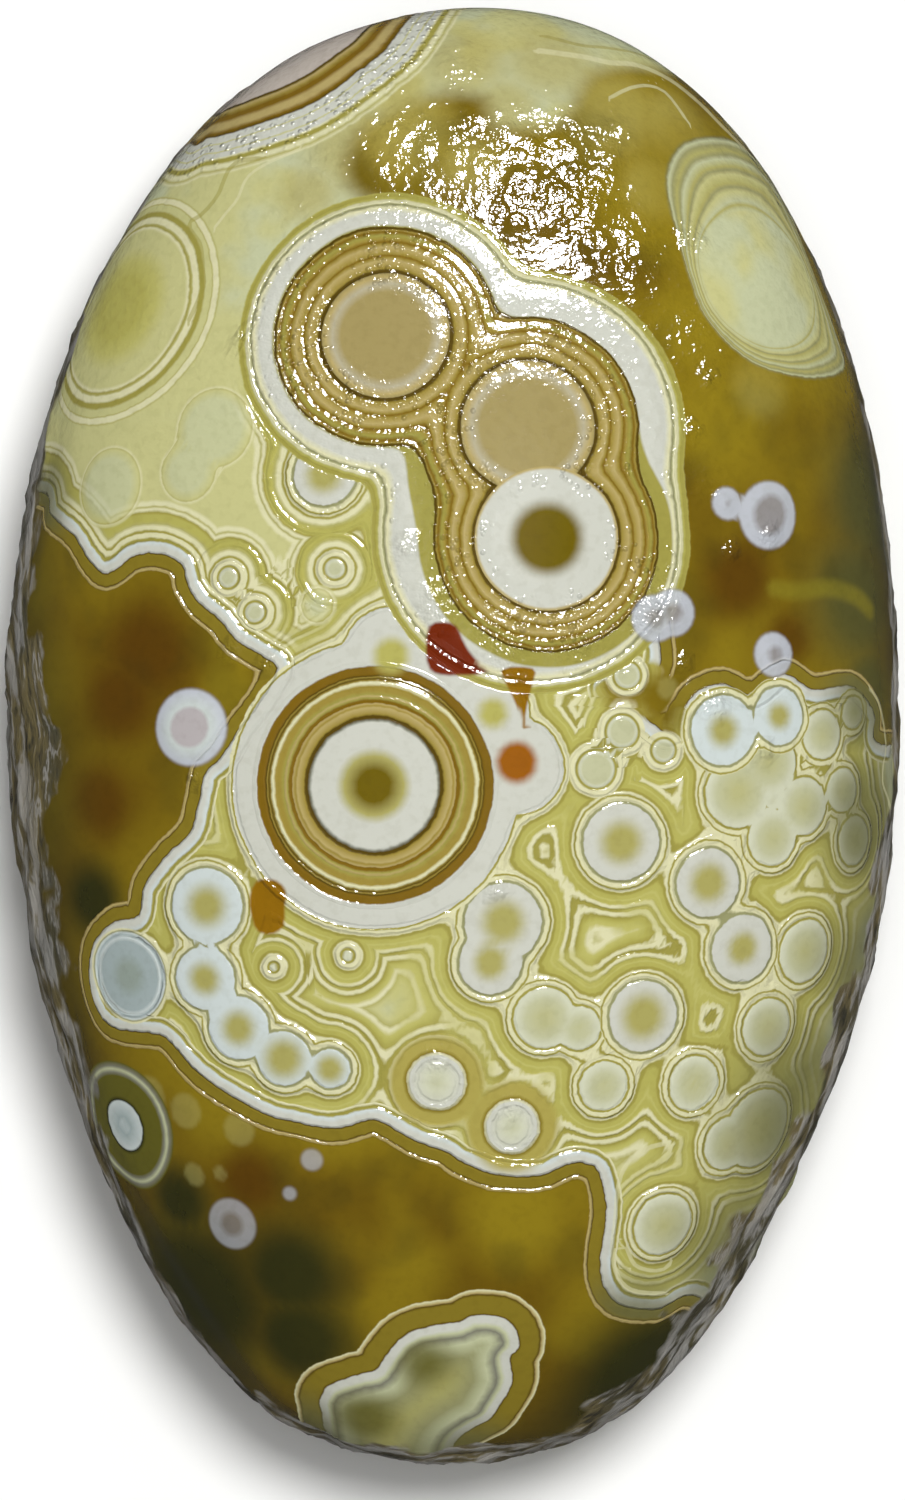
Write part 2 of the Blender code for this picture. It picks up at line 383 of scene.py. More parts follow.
# Colours outwards from an eye's centre or from an edge, at distances in millimetres
LIVELY_LINES = (
    (0.0, "cream"), (0.05, "cream"), (0.1, "olive"), (0.15, "olive"), (0.2, "gap"), (0.3, "gap"),
    (0.35, "yellow"), (0.4, "gap"), (0.48, "gap"), (0.54, "cream"), (0.6, "cream"), (0.65, "olive"),
    (0.73, "olive"), (0.78, "cream"), (0.86, "cream"), (0.93, "olive"), (1.05, "gap"), (1.16, "yellow"),
    (1.26, "cream"), (1.32, "cream"), (1.4, "soft_olive"), (1.55, "pale"), (2.0, "pale_green"),
)
QUIET_LINES = (
    (0.0, "cream"), (0.04, "cream"), (0.08, "olive"), (0.12, "olive"), (0.18, "cream"), (0.28, "cream"),
    (0.38, "soft_olive"), (0.48, "gap"), (0.68, "gap"), (0.76, "olive"), (0.84, "cream"), (0.89, "cream"),
    (0.95, "soft_olive"), (1.02, "cream"), (1.1, "cream"), (1.2, "pale"), (1.8, "pale"),
)
EDGE_BANDS = (
    (-0.6, "cream"), (-0.54, "cream"), (-0.48, "olive"), (-0.41, "olive"), (-0.35, "blue_white"),
    (-0.2, "white"), (-0.02, "white"), (0.02, "dark_line"), (0.06, "olive_band"), (0.42, "olive_band"),
    (0.46, "dark_line"), (0.5, "tan"), (0.56, "tan"), (0.62, "amber"),
)
EYE_RIM = (
    (-0.5, "white"), (-0.36, "white"), (-0.32, "grey_olive"), (-0.26, "grey_olive"), (-0.22, "cream"),
    (-0.11, "cream"), (-0.07, "olive"), (-0.04, "olive"), (0.0, "cream"),
)
CHAIN_RIM = (
    (-0.5, "blue_white"), (-0.34, "blue_white"), (-0.3, "grey_olive"), (-0.25, "grey_olive"),
    (-0.21, "cream"), (-0.11, "cream"), (-0.07, "olive"), (-0.04, "olive"), (0.0, "cream"),
)
PALE_RIM = (
    (-1.3, "disc_heart"), (-0.7, "disc"), (-0.4, "disc_rim"), (-0.32, "disc_rim"), (-0.28, "olive"),
    (-0.23, "olive"), (-0.2, "cream"), (-0.1, "cream"), (-0.06, "olive"), (-0.03, "olive"), (0.0, "cream"),
)
BUBBLE_RIM = (
    (-1.6, "pale_green"), (-0.5, "pale_green"), (-0.2, "pale"), (-0.14, "soft_olive"), (-0.1, "cream"),
    (0.0, "pale"),
)
SEED_RIM = (
    (-0.8, "disc"), (-0.42, "disc"), (-0.3, "disc_rim"), (-0.24, "olive"), (-0.2, "olive"), (-0.15, "cream"),
    (0.0, "cream"),
)
HALO_RIM = (
    (-1.0, "disc"), (-0.6, "disc_rim"), (-0.1, "white"), (-0.02, "cream"), (0.04, "olive_band"),
    (0.16, "gilding"), (0.6, "gilding"), (0.9, "gap"),
)
BODY_RIM = (
    (-0.4, "white"), (-0.2, "white"), (-0.17, "olive"), (-0.13, "olive"), (-0.1, "cream"), (0.0, "cream"),
)
BLUE_RINGS = (
    (0.0, "grey_blue"), (0.4, "grey_blue"), (0.8, "blue"), (1.2, "blue"), (1.32, "blue_white"),
    (1.42, "blue"), (1.5, "blue_white"), (1.56, "grey_olive"), (1.6, "cream"), (1.67, "cream"),
)
GREAT_RINGS = (
    (0.0, "pupil"), (0.55, "pupil"), (1.0, "olive_pupil"), (1.32, "white"), (2.12, "white"), (2.2, "grey"),
    (2.26, "dark_line"), (2.34, "dark_line"), (2.4, "gold"), (2.62, "tan"), (2.68, "gold"), (2.76, "tan"),
    (2.8, "brown"), (2.88, "brown"), (2.95, "olive"), (3.02, "tan"), (3.08, "olive"), (3.2, "gold"),
    (3.36, "gold"), (3.44, "cream"), (3.5, "cream"), (3.54, "gold"), (3.6, "dark_line"), (3.66, "gold"),
    (3.7, "dark_line"), (3.76, "brown"), (4.0, "brown"), (4.05, "white"),
)
TRIO_RINGS = (
    (0.0, "dark_line"), (0.05, "dark_line"), (0.09, "gold"), (0.26, "tan"), (0.32, "gold"), (0.36, "brown"),
    (0.4, "gold"), (0.55, "tan"), (0.62, "gold"), (0.66, "brown"), (0.72, "gold"), (0.8, "olive"),
    (0.88, "brown"), (0.93, "gold"), (0.96, "dark_line"), (1.0, "dark_line"),
)
TRIO_MARGIN = (
    (-0.6, "white"), (-0.2, "white"), (0.0, "cream"), (0.06, "cream"), (0.11, "grey_olive"),
    (0.15, "grey_olive"), (0.2, "cream"), (0.28, "cream"), (0.34, "gap"), (0.42, "olive"), (0.5, "olive"),
    (0.58, "gap"),
)
CORNER_BANDS = (
    (-4.0, "crust"), (-2.4, "shell"), (-1.5, "shell"), (-1.43, "dark_line"), (-1.36, "dark_line"),
    (-1.26, "tan"), (-1.08, "gold"), (-0.92, "brown"), (-0.75, "brown"), (-0.58, "tan"), (-0.34, "tan"),
    (-0.16, "brown"), (-0.02, "dark_line"), (0.05, "white"), (0.3, "white"), (0.36, "pale"), (0.42, "white"),
    (0.7, "white"), (0.76, "pale"), (0.82, "white"), (0.98, "white"), (1.04, "cream"), (1.12, "olive"),
    (1.24, "olive"), (1.34, "cream"), (1.46, "cream"), (1.56, "soft_olive"), (1.7, "cream"), (1.8, "pale"),
)
PEACH_RIM = (
    (-2.3, "peach"), (-0.7, "peach"), (-0.4, "peach_rim"), (-0.16, "tan"), (-0.05, "peach"),
    (0.0, "dark_line"),
)
LEFT_RINGS = (
    (0.0, "gap"), (1.1, "gap"), (1.7, "yellow"), (2.3, "pale"), (2.9, "pale"), (3.02, "cream"),
    (3.1, "olive"), (3.17, "soft_olive"), (3.22, "cream"), (3.4, "cream"), (3.48, "olive"), (3.62, "olive"),
    (3.7, "pale"), (3.9, "pale"), (3.95, "soft_olive"), (4.0, "cream"), (4.16, "cream"), (4.22, "soft_olive"),
    (4.3, "pale"),
)
# The outermost ring runs into the dark olive of the painted rim shade
UPPER_RINGS = (
    (0.0, "pale_green"), (0.07, "soft_olive"), (0.12, "pale_green"), (0.24, "pale"), (0.3, "grey_olive"),
    (0.35, "soft_olive"), (0.47, "pale"), (0.53, "grey_olive"), (0.58, "soft_olive"), (0.68, "pale_green"),
    (0.74, "grey_olive"), (0.8, "soft_olive"), (0.88, "grey_olive"), (0.94, "pale_green"), (1.0, "dusk"),
)
RIM_RINGS = (
    (0.0, "blue_white"), (0.35, "blue"), (0.88, "blue_white"), (0.95, "dark_green"), (1.08, "dark_olive"),
    (1.8, "dark_olive"), (1.92, "grey"), (2.04, "pale_green"), (2.14, "grey"), (2.3, "dark_olive"),
)
END_BANDS = (
    (-2.2, "soft_olive"), (-1.3, "grey_olive"), (-0.8, "pale_green"), (-0.5, "grey"), (-0.34, "pale_green"),
    (-0.22, "white"), (0.0, "white"), (0.05, "dark_line"), (0.12, "olive_band"), (0.7, "olive_band"),
    (0.78, "dark_line"), (0.84, "tan"), (0.94, "cream"), (1.0, "olive_band"),
)
LAVENDER_RIM = (
    (-1.3, "lavender"), (-0.65, "lavender"), (-0.4, "lavender_rim"), (-0.12, "lavender_rim"),
    (0.0, "lavender"),
)
LILAC_RIM = (
    (-1.3, "lilac"), (-0.72, "lilac"), (-0.58, "blue_white"), (-0.12, "lavender_rim"), (0.0, "lavender"),
)

# Heights outwards at the same distances, from 0 in a groove to 1 on a crest
EYE_HEIGHTS = (
    (-0.6, 0.55), (-0.33, 0.6), (-0.27, 0.3), (-0.21, 0.4), (-0.15, 0.95), (-0.04, 1.0), (0.04, 0.3),
    (0.14, 0.2), (0.45, 0.25), (0.53, 0.65), (0.6, 0.65), (0.68, 0.2), (0.78, 0.55), (0.86, 0.55),
    (0.98, 0.25), (1.2, 0.35), (1.6, 0.4),
)
EDGE_HEIGHTS = (
    (-0.6, 0.4), (-0.54, 0.5), (-0.45, 0.15), (-0.35, 0.8), (-0.06, 1.0), (0.04, 0.15), (0.12, 0.35),
    (0.4, 0.35), (0.46, 0.15), (0.52, 0.8), (0.57, 0.6), (0.66, 0.4),
)
GREAT_HEIGHTS = (
    (0.0, 0.3), (0.55, 0.3), (1.3, 0.5), (2.1, 0.75), (2.3, 0.1), (2.42, 0.6), (2.62, 0.7), (2.82, 0.2),
    (3.0, 0.65), (3.08, 0.35), (3.3, 0.5), (3.47, 0.9), (3.6, 0.15), (3.66, 0.5), (3.71, 0.15), (3.8, 0.4),
    (3.98, 0.4), (4.06, 0.9), (4.2, 0.6),
)
TRIO_HEIGHTS = (
    (0.0, 0.15), (0.06, 0.15), (0.12, 0.6), (0.26, 0.75), (0.36, 0.2), (0.42, 0.6), (0.55, 0.75), (0.66, 0.2),
    (0.74, 0.6), (0.82, 0.4), (0.88, 0.2), (0.93, 0.6), (0.98, 0.15), (1.0, 0.2),
)
MARGIN_HEIGHTS = (
    (-0.7, 0.5), (-0.2, 0.6), (0.03, 1.0), (0.12, 0.35), (0.22, 0.95), (0.34, 0.35), (0.44, 0.2), (0.6, 0.4),
)

# The block's sides in the flat unfolding: face axis and whether it faces up it, the two axes that the side
# spreads along, and its left and lower edge, width and height in the unfolding
UNFOLDING = (
    (2, True, 0, 1, 0.01, 0.02, 0.65, 0.96), (2, False, 0, 1, 0.68, 0.54, 0.31, 0.44),
    (0, True, 1, 2, 0.68, 0.40, 0.31, 0.10), (0, False, 1, 2, 0.68, 0.28, 0.31, 0.10),
    (1, True, 0, 2, 0.68, 0.16, 0.31, 0.10), (1, False, 0, 2, 0.68, 0.04, 0.31, 0.10),
)


class AgateShape(bpy.types.PropertyGroup):
    """Sizes of the stone's surface."""

    cells: IntVectorProperty(
        name="Cells", description="Faces across, along and up the block that is blown up into the stone",
        default=(150, 216, 46), min=8, size=3)
    crowding: FloatProperty(
        name="Crowding", description="How much closer the faces stand on the dome than underneath",
        default=0.35, min=0, max=0.9, subtype="FACTOR")
    relief: FloatProperty(
        name="Relief", description="Height that the full weight of the carving stands for",
        default=0.0005, min=0, unit="LENGTH")


def swatch(name, description, red, green, blue):
    return FloatVectorProperty(
        name=name, description=description, default=display(red, green, blue), subtype="COLOR",
        size=3, min=0, max=1)


class AgateColours(bpy.types.PropertyGroup):
    """Colours of the stone's clouds, bands and eyes."""

    amber: swatch("Amber", "Clear stone between the pale zones", 104, 82, 12)
    golden: swatch("Golden amber", "Brightest clear stone, high on the dome", 140, 121, 24)
    red_brown: swatch("Red-brown amber", "Warm cloud in the clear stone", 84, 54, 6)
    # Also the colour of the painted shade down the flanks of the clear stone
    dark_green: swatch("Green-black amber", "Deep cloud at the narrow end and the left edge", 42, 44, 16)
    grey_green: swatch("Grey-green amber", "Cloud along the right edge", 78, 78, 40)
    streak: swatch("Streak", "Bright streak in the clear stone", 134, 124, 34)
    olive_band: swatch("Olive band", "Band outside a pale zone's white edge", 130, 114, 34)
    olive: swatch("Olive", "Dark lines among the pale stone", 154, 147, 70)
    soft_olive: swatch("Soft olive", "Fainter lines among the pale stone", 172, 168, 102)
    grey_olive: swatch("Grey-olive", "Thin dark lines inside the rims", 148, 148, 104)
    gap: swatch("Olive-yellow", "Stone between neighbouring eyes", 174, 169, 88)
    yellow: swatch("Pale yellow", "Stone further from the eyes", 184, 180, 104)
    pale: swatch("Pale yellow-green", "Plain stone of the pale zones", 192, 190, 132)
    pale_green: swatch("Pale grey-green", "Cooler stone of the pale zones", 188, 192, 154)
    cream: swatch("Cream", "Rims and thin lines", 213, 210, 168)
    tan: swatch("Tan", "Light lines among the gold rings", 178, 160, 102)
    white: swatch("White", "Bodies of the eyes", 198, 199, 187)
    blue_white: swatch("Bluish white", "Bodies of the eyes at the lower left", 200, 209, 206)
    blue: swatch("Blue-grey", "The blue discs at the left rim", 160, 173, 172)
    grey_blue: swatch("Grey-blue", "Hearts of the blue discs", 146, 158, 148)
    disc: swatch("Disc", "Bodies of the even pale discs", 186, 187, 150)
    disc_heart: swatch("Heart of a disc", "Middles of the even pale discs", 180, 178, 126)
    disc_rim: swatch("Disc rim", "Brighter edge of the even pale discs", 202, 204, 178)
    lilac: swatch("Lilac", "Heart of the disc beside the great eye", 182, 176, 178)
    lavender: swatch("Lavender", "Discs that float in the amber", 146, 144, 146)
    lavender_rim: swatch("Lavender rim", "Rims of the floating discs", 190, 195, 204)
    peach: swatch("Peach", "The two plain discs of the triple eye", 158, 143, 90)
    peach_rim: swatch("Peach rim", "Paler edge of the plain discs", 178, 170, 142)
    pupil: swatch("Dark pupil", "Pupils of the largest eyes", 106, 90, 6)
    olive_pupil: swatch("Olive pupil", "Pupils of the small eyes", 166, 160, 92)
    gold: swatch("Gold ring", "Rings of the largest eyes", 152, 133, 56)
    brown: swatch("Brown ring", "Dark rings of the largest eyes", 122, 94, 20)
    dark_line: swatch("Dark line", "Thin lines between rings", 86, 68, 16)
    grey: swatch("Grey", "Discs deep in the stone", 124, 124, 108)
    red: swatch("Red", "Red mineral patch", 112, 38, 8)
    rust: swatch("Rust", "Rust-coloured mineral patches", 140, 100, 10)
    dark_olive: swatch("Dark olive", "The ball in the pale body at the narrow end", 96, 92, 30)
    orange: swatch("Orange", "Pupil of the orange eye", 150, 88, 8)
    # Painted shade: the dark olive that the pale stone is given towards the rim
    shell: swatch("Shell", "Pinkish grey heart of the rings over the edge", 188, 178, 168)
    dusk: swatch("Dusk", "Pale stone where it darkens towards the rim", 100, 100, 62)
    gilding: swatch("Gilding", "Pale stone with gold shining through", 168, 156, 78)
    # Also the colour of the painted floor reflection along the crust's widest line
    crust: swatch("Crust", "Silver-grey scratches on the rough flank", 156, 154, 150)
    dull: swatch("Dull crust", "Dull stone between the scratches", 74, 70, 50)
    earth: swatch("Earthy crust", "Warmer patches of the dull stone", 100, 90, 58)
    crack: swatch("Crack", "Dark cracks and streaks in the crust", 50, 48, 37)


class AgateStage(bpy.types.PropertyGroup):
    """The floor and the lights."""

    floor: FloatVectorProperty(
        name="Floor", description="Colour of the floor", default=display(246, 246, 244), subtype="COLOR",
        size=3, min=0, max=1)
    soft_power: FloatProperty(
        name="Soft light", description="Power of the soft light", default=3.2, min=0, unit="POWER")
    fill_power: FloatProperty(
        name="Fill light", description="Power of the wide light overhead", default=2.1, min=0, unit="POWER")
    spark_power: FloatProperty(
        name="Spark light", description="Power of the small light that glints on the stone",
        default=9.0, min=0, unit="POWER")


class Flow:
    """A number, vector or colour on its way through a material's nodes, with arithmetic."""

    def __init__(self, tree, socket=None):
        self.tree = tree
        self.socket = socket

    def node(self, kind, settings=None, inputs=None, output=0):
        """Adds a node, sets it up, fills its sockets with values or flows, and gives one of its outputs."""
        node = self.tree.nodes.new(kind)
        for key, value in (settings or {}).items():
            if key == "stops":
                lay_stops(node.color_ramp, value)
            else:
                setattr(node, key, value)
        for key, value in (inputs or {}).items():
            if isinstance(value, Flow):
                self.tree.links.new(value.socket, node.inputs[key])
            else:
                node.inputs[key].default_value = value
        return Flow(self.tree, node.outputs[output])

    def math(self, operation, *values):
        return self.node("ShaderNodeMath", {"operation": operation}, dict(enumerate(values)))

    def __add__(self, other):
        return self.math("ADD", self, other)

    __radd__ = __add__

    def __sub__(self, other):
        return self.math("SUBTRACT", self, other)

    def __rsub__(self, other):
        return self.math("SUBTRACT", other, self)

    def __mul__(self, other):
        return self.math("MULTIPLY", self, other)

    __rmul__ = __mul__

    def __truediv__(self, other):
        return self.math("DIVIDE", self, other)

    def smaller(self, other):
        return self.math("MINIMUM", self, other)

    def larger(self, other):
        return self.math("MAXIMUM", self, other)

    def size(self):
        return self.math("ABSOLUTE", self)

    def scaled(self, *factors):
        return self.node("ShaderNodeVectorMath", {"operation": "MULTIPLY"}, {0: self, 1: factors})

    def rise(self, start, end):
        """0 up to start and 1 from end on, smooth between them. It falls where end is below start."""
        low, high, first, last = (start, end, 0.0, 1.0) if start < end else (end, start, 1.0, 0.0)
        inputs = {"Value": self, "From Min": low, "From Max": high, "To Min": first, "To Max": last}
        return self.node("ShaderNodeMapRange", {"interpolation_type": "SMOOTHSTEP"}, inputs)

    def noise(self, size, detail=2.0, roughness=0.5):
        inputs = {"Vector": self, "Scale": 1.0 / size, "Detail": detail, "Roughness": roughness}
        return self.node("ShaderNodeTexNoise", {}, inputs, "Fac")

    def blend(self, base, layer):
        """The base colour, covered by the layer where this flow is 1."""
        return self.node(
            "ShaderNodeMix", {"data_type": "RGBA"}, {"Factor": self, 6: opaque(base), 7: opaque(layer)}, 2)

    def between(self, base, layer):
        """The base number where this flow is 0, the layer number where it is 1."""
        return base + (layer - base) * self

    def ramp(self, profile):
        """The profile's colours along this distance. It lists (distance, colour) outwards."""
        start, end = profile[0][0], profile[-1][0]
        share = (self - start) * (1 / (end - start))
        stops = [((reach - start) / (end - start), colour) for reach, colour in profile]
        return self.node("ShaderNodeValToRGB", {"stops": stops}, {"Fac": share})

    def rings(self, tints, profile):
        return self.ramp([(reach, getattr(tints, tint)) for reach, tint in profile])

    def heights(self, profile):
        return self.ramp([(reach, (height, height, height)) for reach, height in profile])


class Fields:
    """The chart's fields as flows, which the stone's points carry three by three."""

    def __init__(self, tree, piece):
        place = Flow(tree).node("ShaderNodeTexCoord", output="Object").scaled(1 / MM, 1 / MM, 1 / MM)
        self.flows = {"place": place, "grain": place.noise(GRAIN_SIZE)}
        names = [attribute.name for attribute in piece.data.attributes]
        for triple in (name for name in names if len(name.split()) == 3):
            vector = Flow(tree).node("ShaderNodeAttribute", {"attribute_name": triple}, output="Vector")
            parts = vector.node("ShaderNodeSeparateXYZ", {}, {0: vector}).socket.node.outputs
            self.flows.update({name: Flow(tree, part) for name, part in zip(triple.split(), parts)})
        for name in ("seed", "grey"):
            way = Flow(tree).node("ShaderNodeAttribute", {"attribute_name": f"{name}_way"}, output="Vector")
            length = way.node("ShaderNodeVectorMath", {"operation": "LENGTH"}, {0: way}, "Value")
            rounded = length - self.flows[f"{name}_radius"]
            self.flows[f"{name}_gap"] = rounded.larger(self.flows[f"{name}_gap"] - EYE_ROUNDING)
        self.flows["eye_gap"] = self.eye_gap.smaller(self.seed_gap)
        shake = (self.grain - 0.5) * SHAKE
        for name in SHAKEN:
            self.flows[name] = self.flows[name] + shake

    def __getattr__(self, name):
        return self.flows[name]


def opaque(colour):
    return colour if isinstance(colour, Flow) else (*colour, 1.0)


def lay_stops(ramp, stops):
    while len(ramp.elements) < len(stops):
        ramp.elements.new(1.0)
    for element, (position, colour) in zip(ramp.elements, stops):
        element.position = position
        element.color = (*colour, 1.0)


def covered(base, gap, layer, softness=0.02):
    """The base with the layer over it wherever the gap is below 0."""
    return gap.rise(softness, -softness).blend(base, layer)


def smooth_step(start, end, values):
    share = np.clip((values - start) / (end - start), 0.0, 1.0)
    return share * share * (3 - 2 * share)


def rounded_least(first, second):
    """The smaller of two distances, with the crease between them filled out."""
    share = np.clip(0.5 + (second - first) / (2 * FILLET), 0, 1)
    return second + (first - second) * share - FILLET * share * (1 - share)


def curve_through(points, closed):
    """Places at small steps along a smooth curve through the points."""
    points = np.array(points)
    if closed:
        line = np.vstack((points[-1:], points, points[:2]))
    else:
        line = np.vstack((points[:1], points, points[-1:]))
    places = []
    for before, start, end, after in zip(line, line[1:], line[2:], line[3:]):
        count = max(2, round(np.linalg.norm(end - start) / LINE_STEP))
        share = np.linspace(0, 1, count, endpoint=False)[:, None]
        bend = (2 * before - 5 * start + 4 * end - after) * share**2
        twist = (3 * start - before - 3 * end + after) * share**3
        places.append(start + ((end - before) * share + bend + twist) / 2)
    return np.vstack(places)


def lies_within(outline, places):
    """Which of the flat places lie inside the closed outline."""
    within = np.zeros(len(places), bool)
    across, along = places.T
    for (x0, y0), (x1, y1) in zip(outline, np.roll(outline, -1, axis=0)):
        crossed = (y0 > along) != (y1 > along)
        if crossed.any():
            within ^= crossed & (across < x0 + (along - y0) * ((x1 - x0) / (y1 - y0)))
    return within


class Chart:
    """Distances on the stone in millimetres, from its eyes, edges and lines to each of its points."""

    def __init__(self, piece):
        self.piece = piece
        mesh = piece.data
        self.tree = BVHTree.FromPolygons(
            [vertex.co for vertex in mesh.vertices], [face.vertices for face in mesh.polygons])
        self.points = read_places(piece) / MM
        normals = np.array([normal.vector for normal in mesh.vertex_normals])
        self.normals = normals
        shift = np.array([noise.noise_vector(Vector(point) / WOBBLE_SIZE) for point in self.points]) * WOBBLE
        self.places = self.points + shift - normals * (shift * normals).sum(axis=1)[:, None]
        self.plan = self.unrolled()

    def unrolled(self):
        """Where the camera sees each point, or a point below the rim with its side folded out flat."""
        view = np.array(VIEWPOINT) / MM
        middle = WIDEST_LINE / MM
        nearness = (view[2] - middle) / (view[2] - self.places[:, 2])
        seen = view[:2] + (self.places[:, :2] - view[:2]) * nearness[:, None]
        leaning = (self.places - (0, 0, middle)) / (np.array(HALF_SIZE) / MM)
        leaning /= np.linalg.norm(leaning, axis=1)[:, None]
        level = np.hypot(leaning[:, 0], leaning[:, 1])
        fold = 2 - np.arcsin(np.clip(level, 0, 1)) / (math.pi / 2)
        folded = seen * (fold / np.maximum(level, 0.001))[:, None]
        return np.where((self.places[:, 2] < middle)[:, None], folded, seen)

    def on_stone(self, across, along):
        """The place on the stone that is seen here, or that lies here when the sides are folded out."""
        aim = Vector((across * MM, along * MM, WIDEST_LINE))
        place = self.tree.ray_cast(VIEWPOINT, aim - VIEWPOINT)[0]
        if place is None:
            share = math.hypot(across * MM / HALF_SIZE[0], along * MM / HALF_SIZE[1])
            lean = math.pi / 2 * max(share, 1.0)
            level = math.sin(lean) / share
            aim = Vector((aim.x * level, aim.y * level, WIDEST_LINE + math.cos(lean) * HALF_SIZE[2]))
            place = self.tree.find_nearest(aim)[0]
        return np.array(place) / MM

    def reach(self, eye):
        """Distance of each point from the eye's centre."""
        if isinstance(eye, Ball):
            centre = np.array(self.tree.find_nearest(Vector(eye[:3]) * MM)[0]) / MM
        else:
            centre = self.on_stone(eye.across, eye.along)
        return np.linalg.norm(self.places - centre, axis=1)

    def gap(self, eyes):
        """How far each point is outside the nearest eye, below 0 inside one."""
        return reduce(np.minimum, (self.reach(eye) - eye.radius for eye in eyes))

    def rounded_gap(self, eyes):
        """The same as gap, with the creases between the eyes filled out."""
        return reduce(rounded_least, (self.reach(eye) - eye.radius for eye in eyes))

    def pupil(self, eyes):
        """Each point's distance from the nearest pupil's centre, as a share of its radius."""
        return reduce(np.minimum, (self.reach(eye) / eye.pupil for eye in eyes))

    def nearest(self, eyes):
        """The way to each point from the centre of the eye nearest to it, and that eye's radius."""
        ways = np.array([self.places - self.on_stone(eye.across, eye.along) for eye in eyes])
        radii = np.array([eye.radius for eye in eyes])
        closest = (np.linalg.norm(ways, axis=2) - radii[:, None]).argmin(axis=0)
        return ways[closest, np.arange(len(self.places))], radii[closest]

    def spots(self, eyes):
        """1 in the middle of each eye, falling softly to 0 at its radius."""
        return reduce(np.maximum, (smooth_step(1.0, 0.25, self.reach(eye) / eye.radius) for eye in eyes))

    def cloud(self, size, octaves):
        """Cloudy noise of this size, from 0 to 1."""
        heights = [noise.fractal(Vector(place) / size, 1.0, 2.0, octaves) for place in self.points]
        return np.array(heights) / 2 + 0.5

    def trace(self, points, closed):
        """The curve through the points, laid on the stone, with each point's nearest step and distance."""
        trail = np.array([self.on_stone(*place) for place in curve_through(points, closed)])
        tree = kdtree.KDTree(len(trail))
        for index, place in enumerate(trail):
            tree.insert(place, index)
        tree.balance()
        low, high = trail.min(axis=0) - LINE_NEAR, trail.max(axis=0) + LINE_NEAR
        near = ((self.places > low) & (self.places < high)).all(axis=1)
        steps = np.zeros(len(self.places), int)
        away = np.full(len(self.places), LINE_NEAR)
        for index in np.flatnonzero(near):
            _, steps[index], away[index] = tree.find(self.places[index])
        return trail, steps, away

    def outside(self, points):
        """Distance of each point outside the closed curve through the points, below 0 inside it."""
        outline = curve_through(points, True)[::3]
        away = self.trace(points, True)[2]
        return np.where(lies_within(outline, self.plan), -away, away)

    def beside(self, points, half_width):
        """Each point's place across the line, from -1 at one edge to 1 at the other, and its distance."""
        trail, steps, away = self.trace(points, False)
        ahead = trail[np.minimum(steps + 1, len(trail) - 1)] - trail[np.maximum(steps - 1, 0)]
        side = (np.cross(ahead, self.places - trail[steps]) * self.normals).sum(axis=1)
        return np.copysign(away, side) / half_width, away

    def lines(self, lines):
        """The same as beside, for the nearest of several lines."""
        sides, distances = zip(*(self.beside(points, half_width) for points, half_width in lines))
        nearest = np.argmin(distances, axis=0)[None]
        return np.take_along_axis(np.array(sides), nearest, 0)[0], np.min(distances, axis=0)

    def softened(self, values):
        """The values, each drawn towards its neighbours', so that creases between eyes run clean."""
        ends = np.empty(len(self.piece.data.edges) * 2, np.int32)
        self.piece.data.edges.foreach_get("vertices", ends)
        first, second = ends[0::2], ends[1::2]
        count = np.bincount(ends)
        for _ in range(SOFTENINGS):
            around = np.bincount(first, values[second]) + np.bincount(second, values[first])
            values = (values + around / count) / 2
        return values

    def keep(self, fields):
        """Gives the fields to the stone's points, three to an attribute."""
        names = list(fields)
        names += [f"spare_{index}" for index in range(-len(names) % 3)]
        for index in range(0, len(names), 3):
            triple = [fields.get(name, np.zeros(len(self.points))) for name in names[index:index + 3]]
            self.keep_vectors(" ".join(names[index:index + 3]), np.stack(triple, axis=1))

    def keep_vectors(self, name, vectors):
        attribute = self.piece.data.attributes.new(name, "FLOAT_VECTOR", "POINT")
        attribute.data.foreach_set("vector", vectors.astype(np.float32).ravel())


def rough_flank(chart):
    """How far below the rough flank's upper edge each point lies, in millimetres."""
    across, along, up = chart.places.T
    bearings = np.arctan2(along / HALF_SIZE[1], across / HALF_SIZE[0])
    stops = np.arange(len(ROUGH_HEIGHTS)) * (2 * math.pi / len(ROUGH_HEIGHTS))
    edge = np.interp(bearings, stops, ROUGH_HEIGHTS, period=2 * math.pi)
    return edge - (up - WIDEST_LINE / MM)


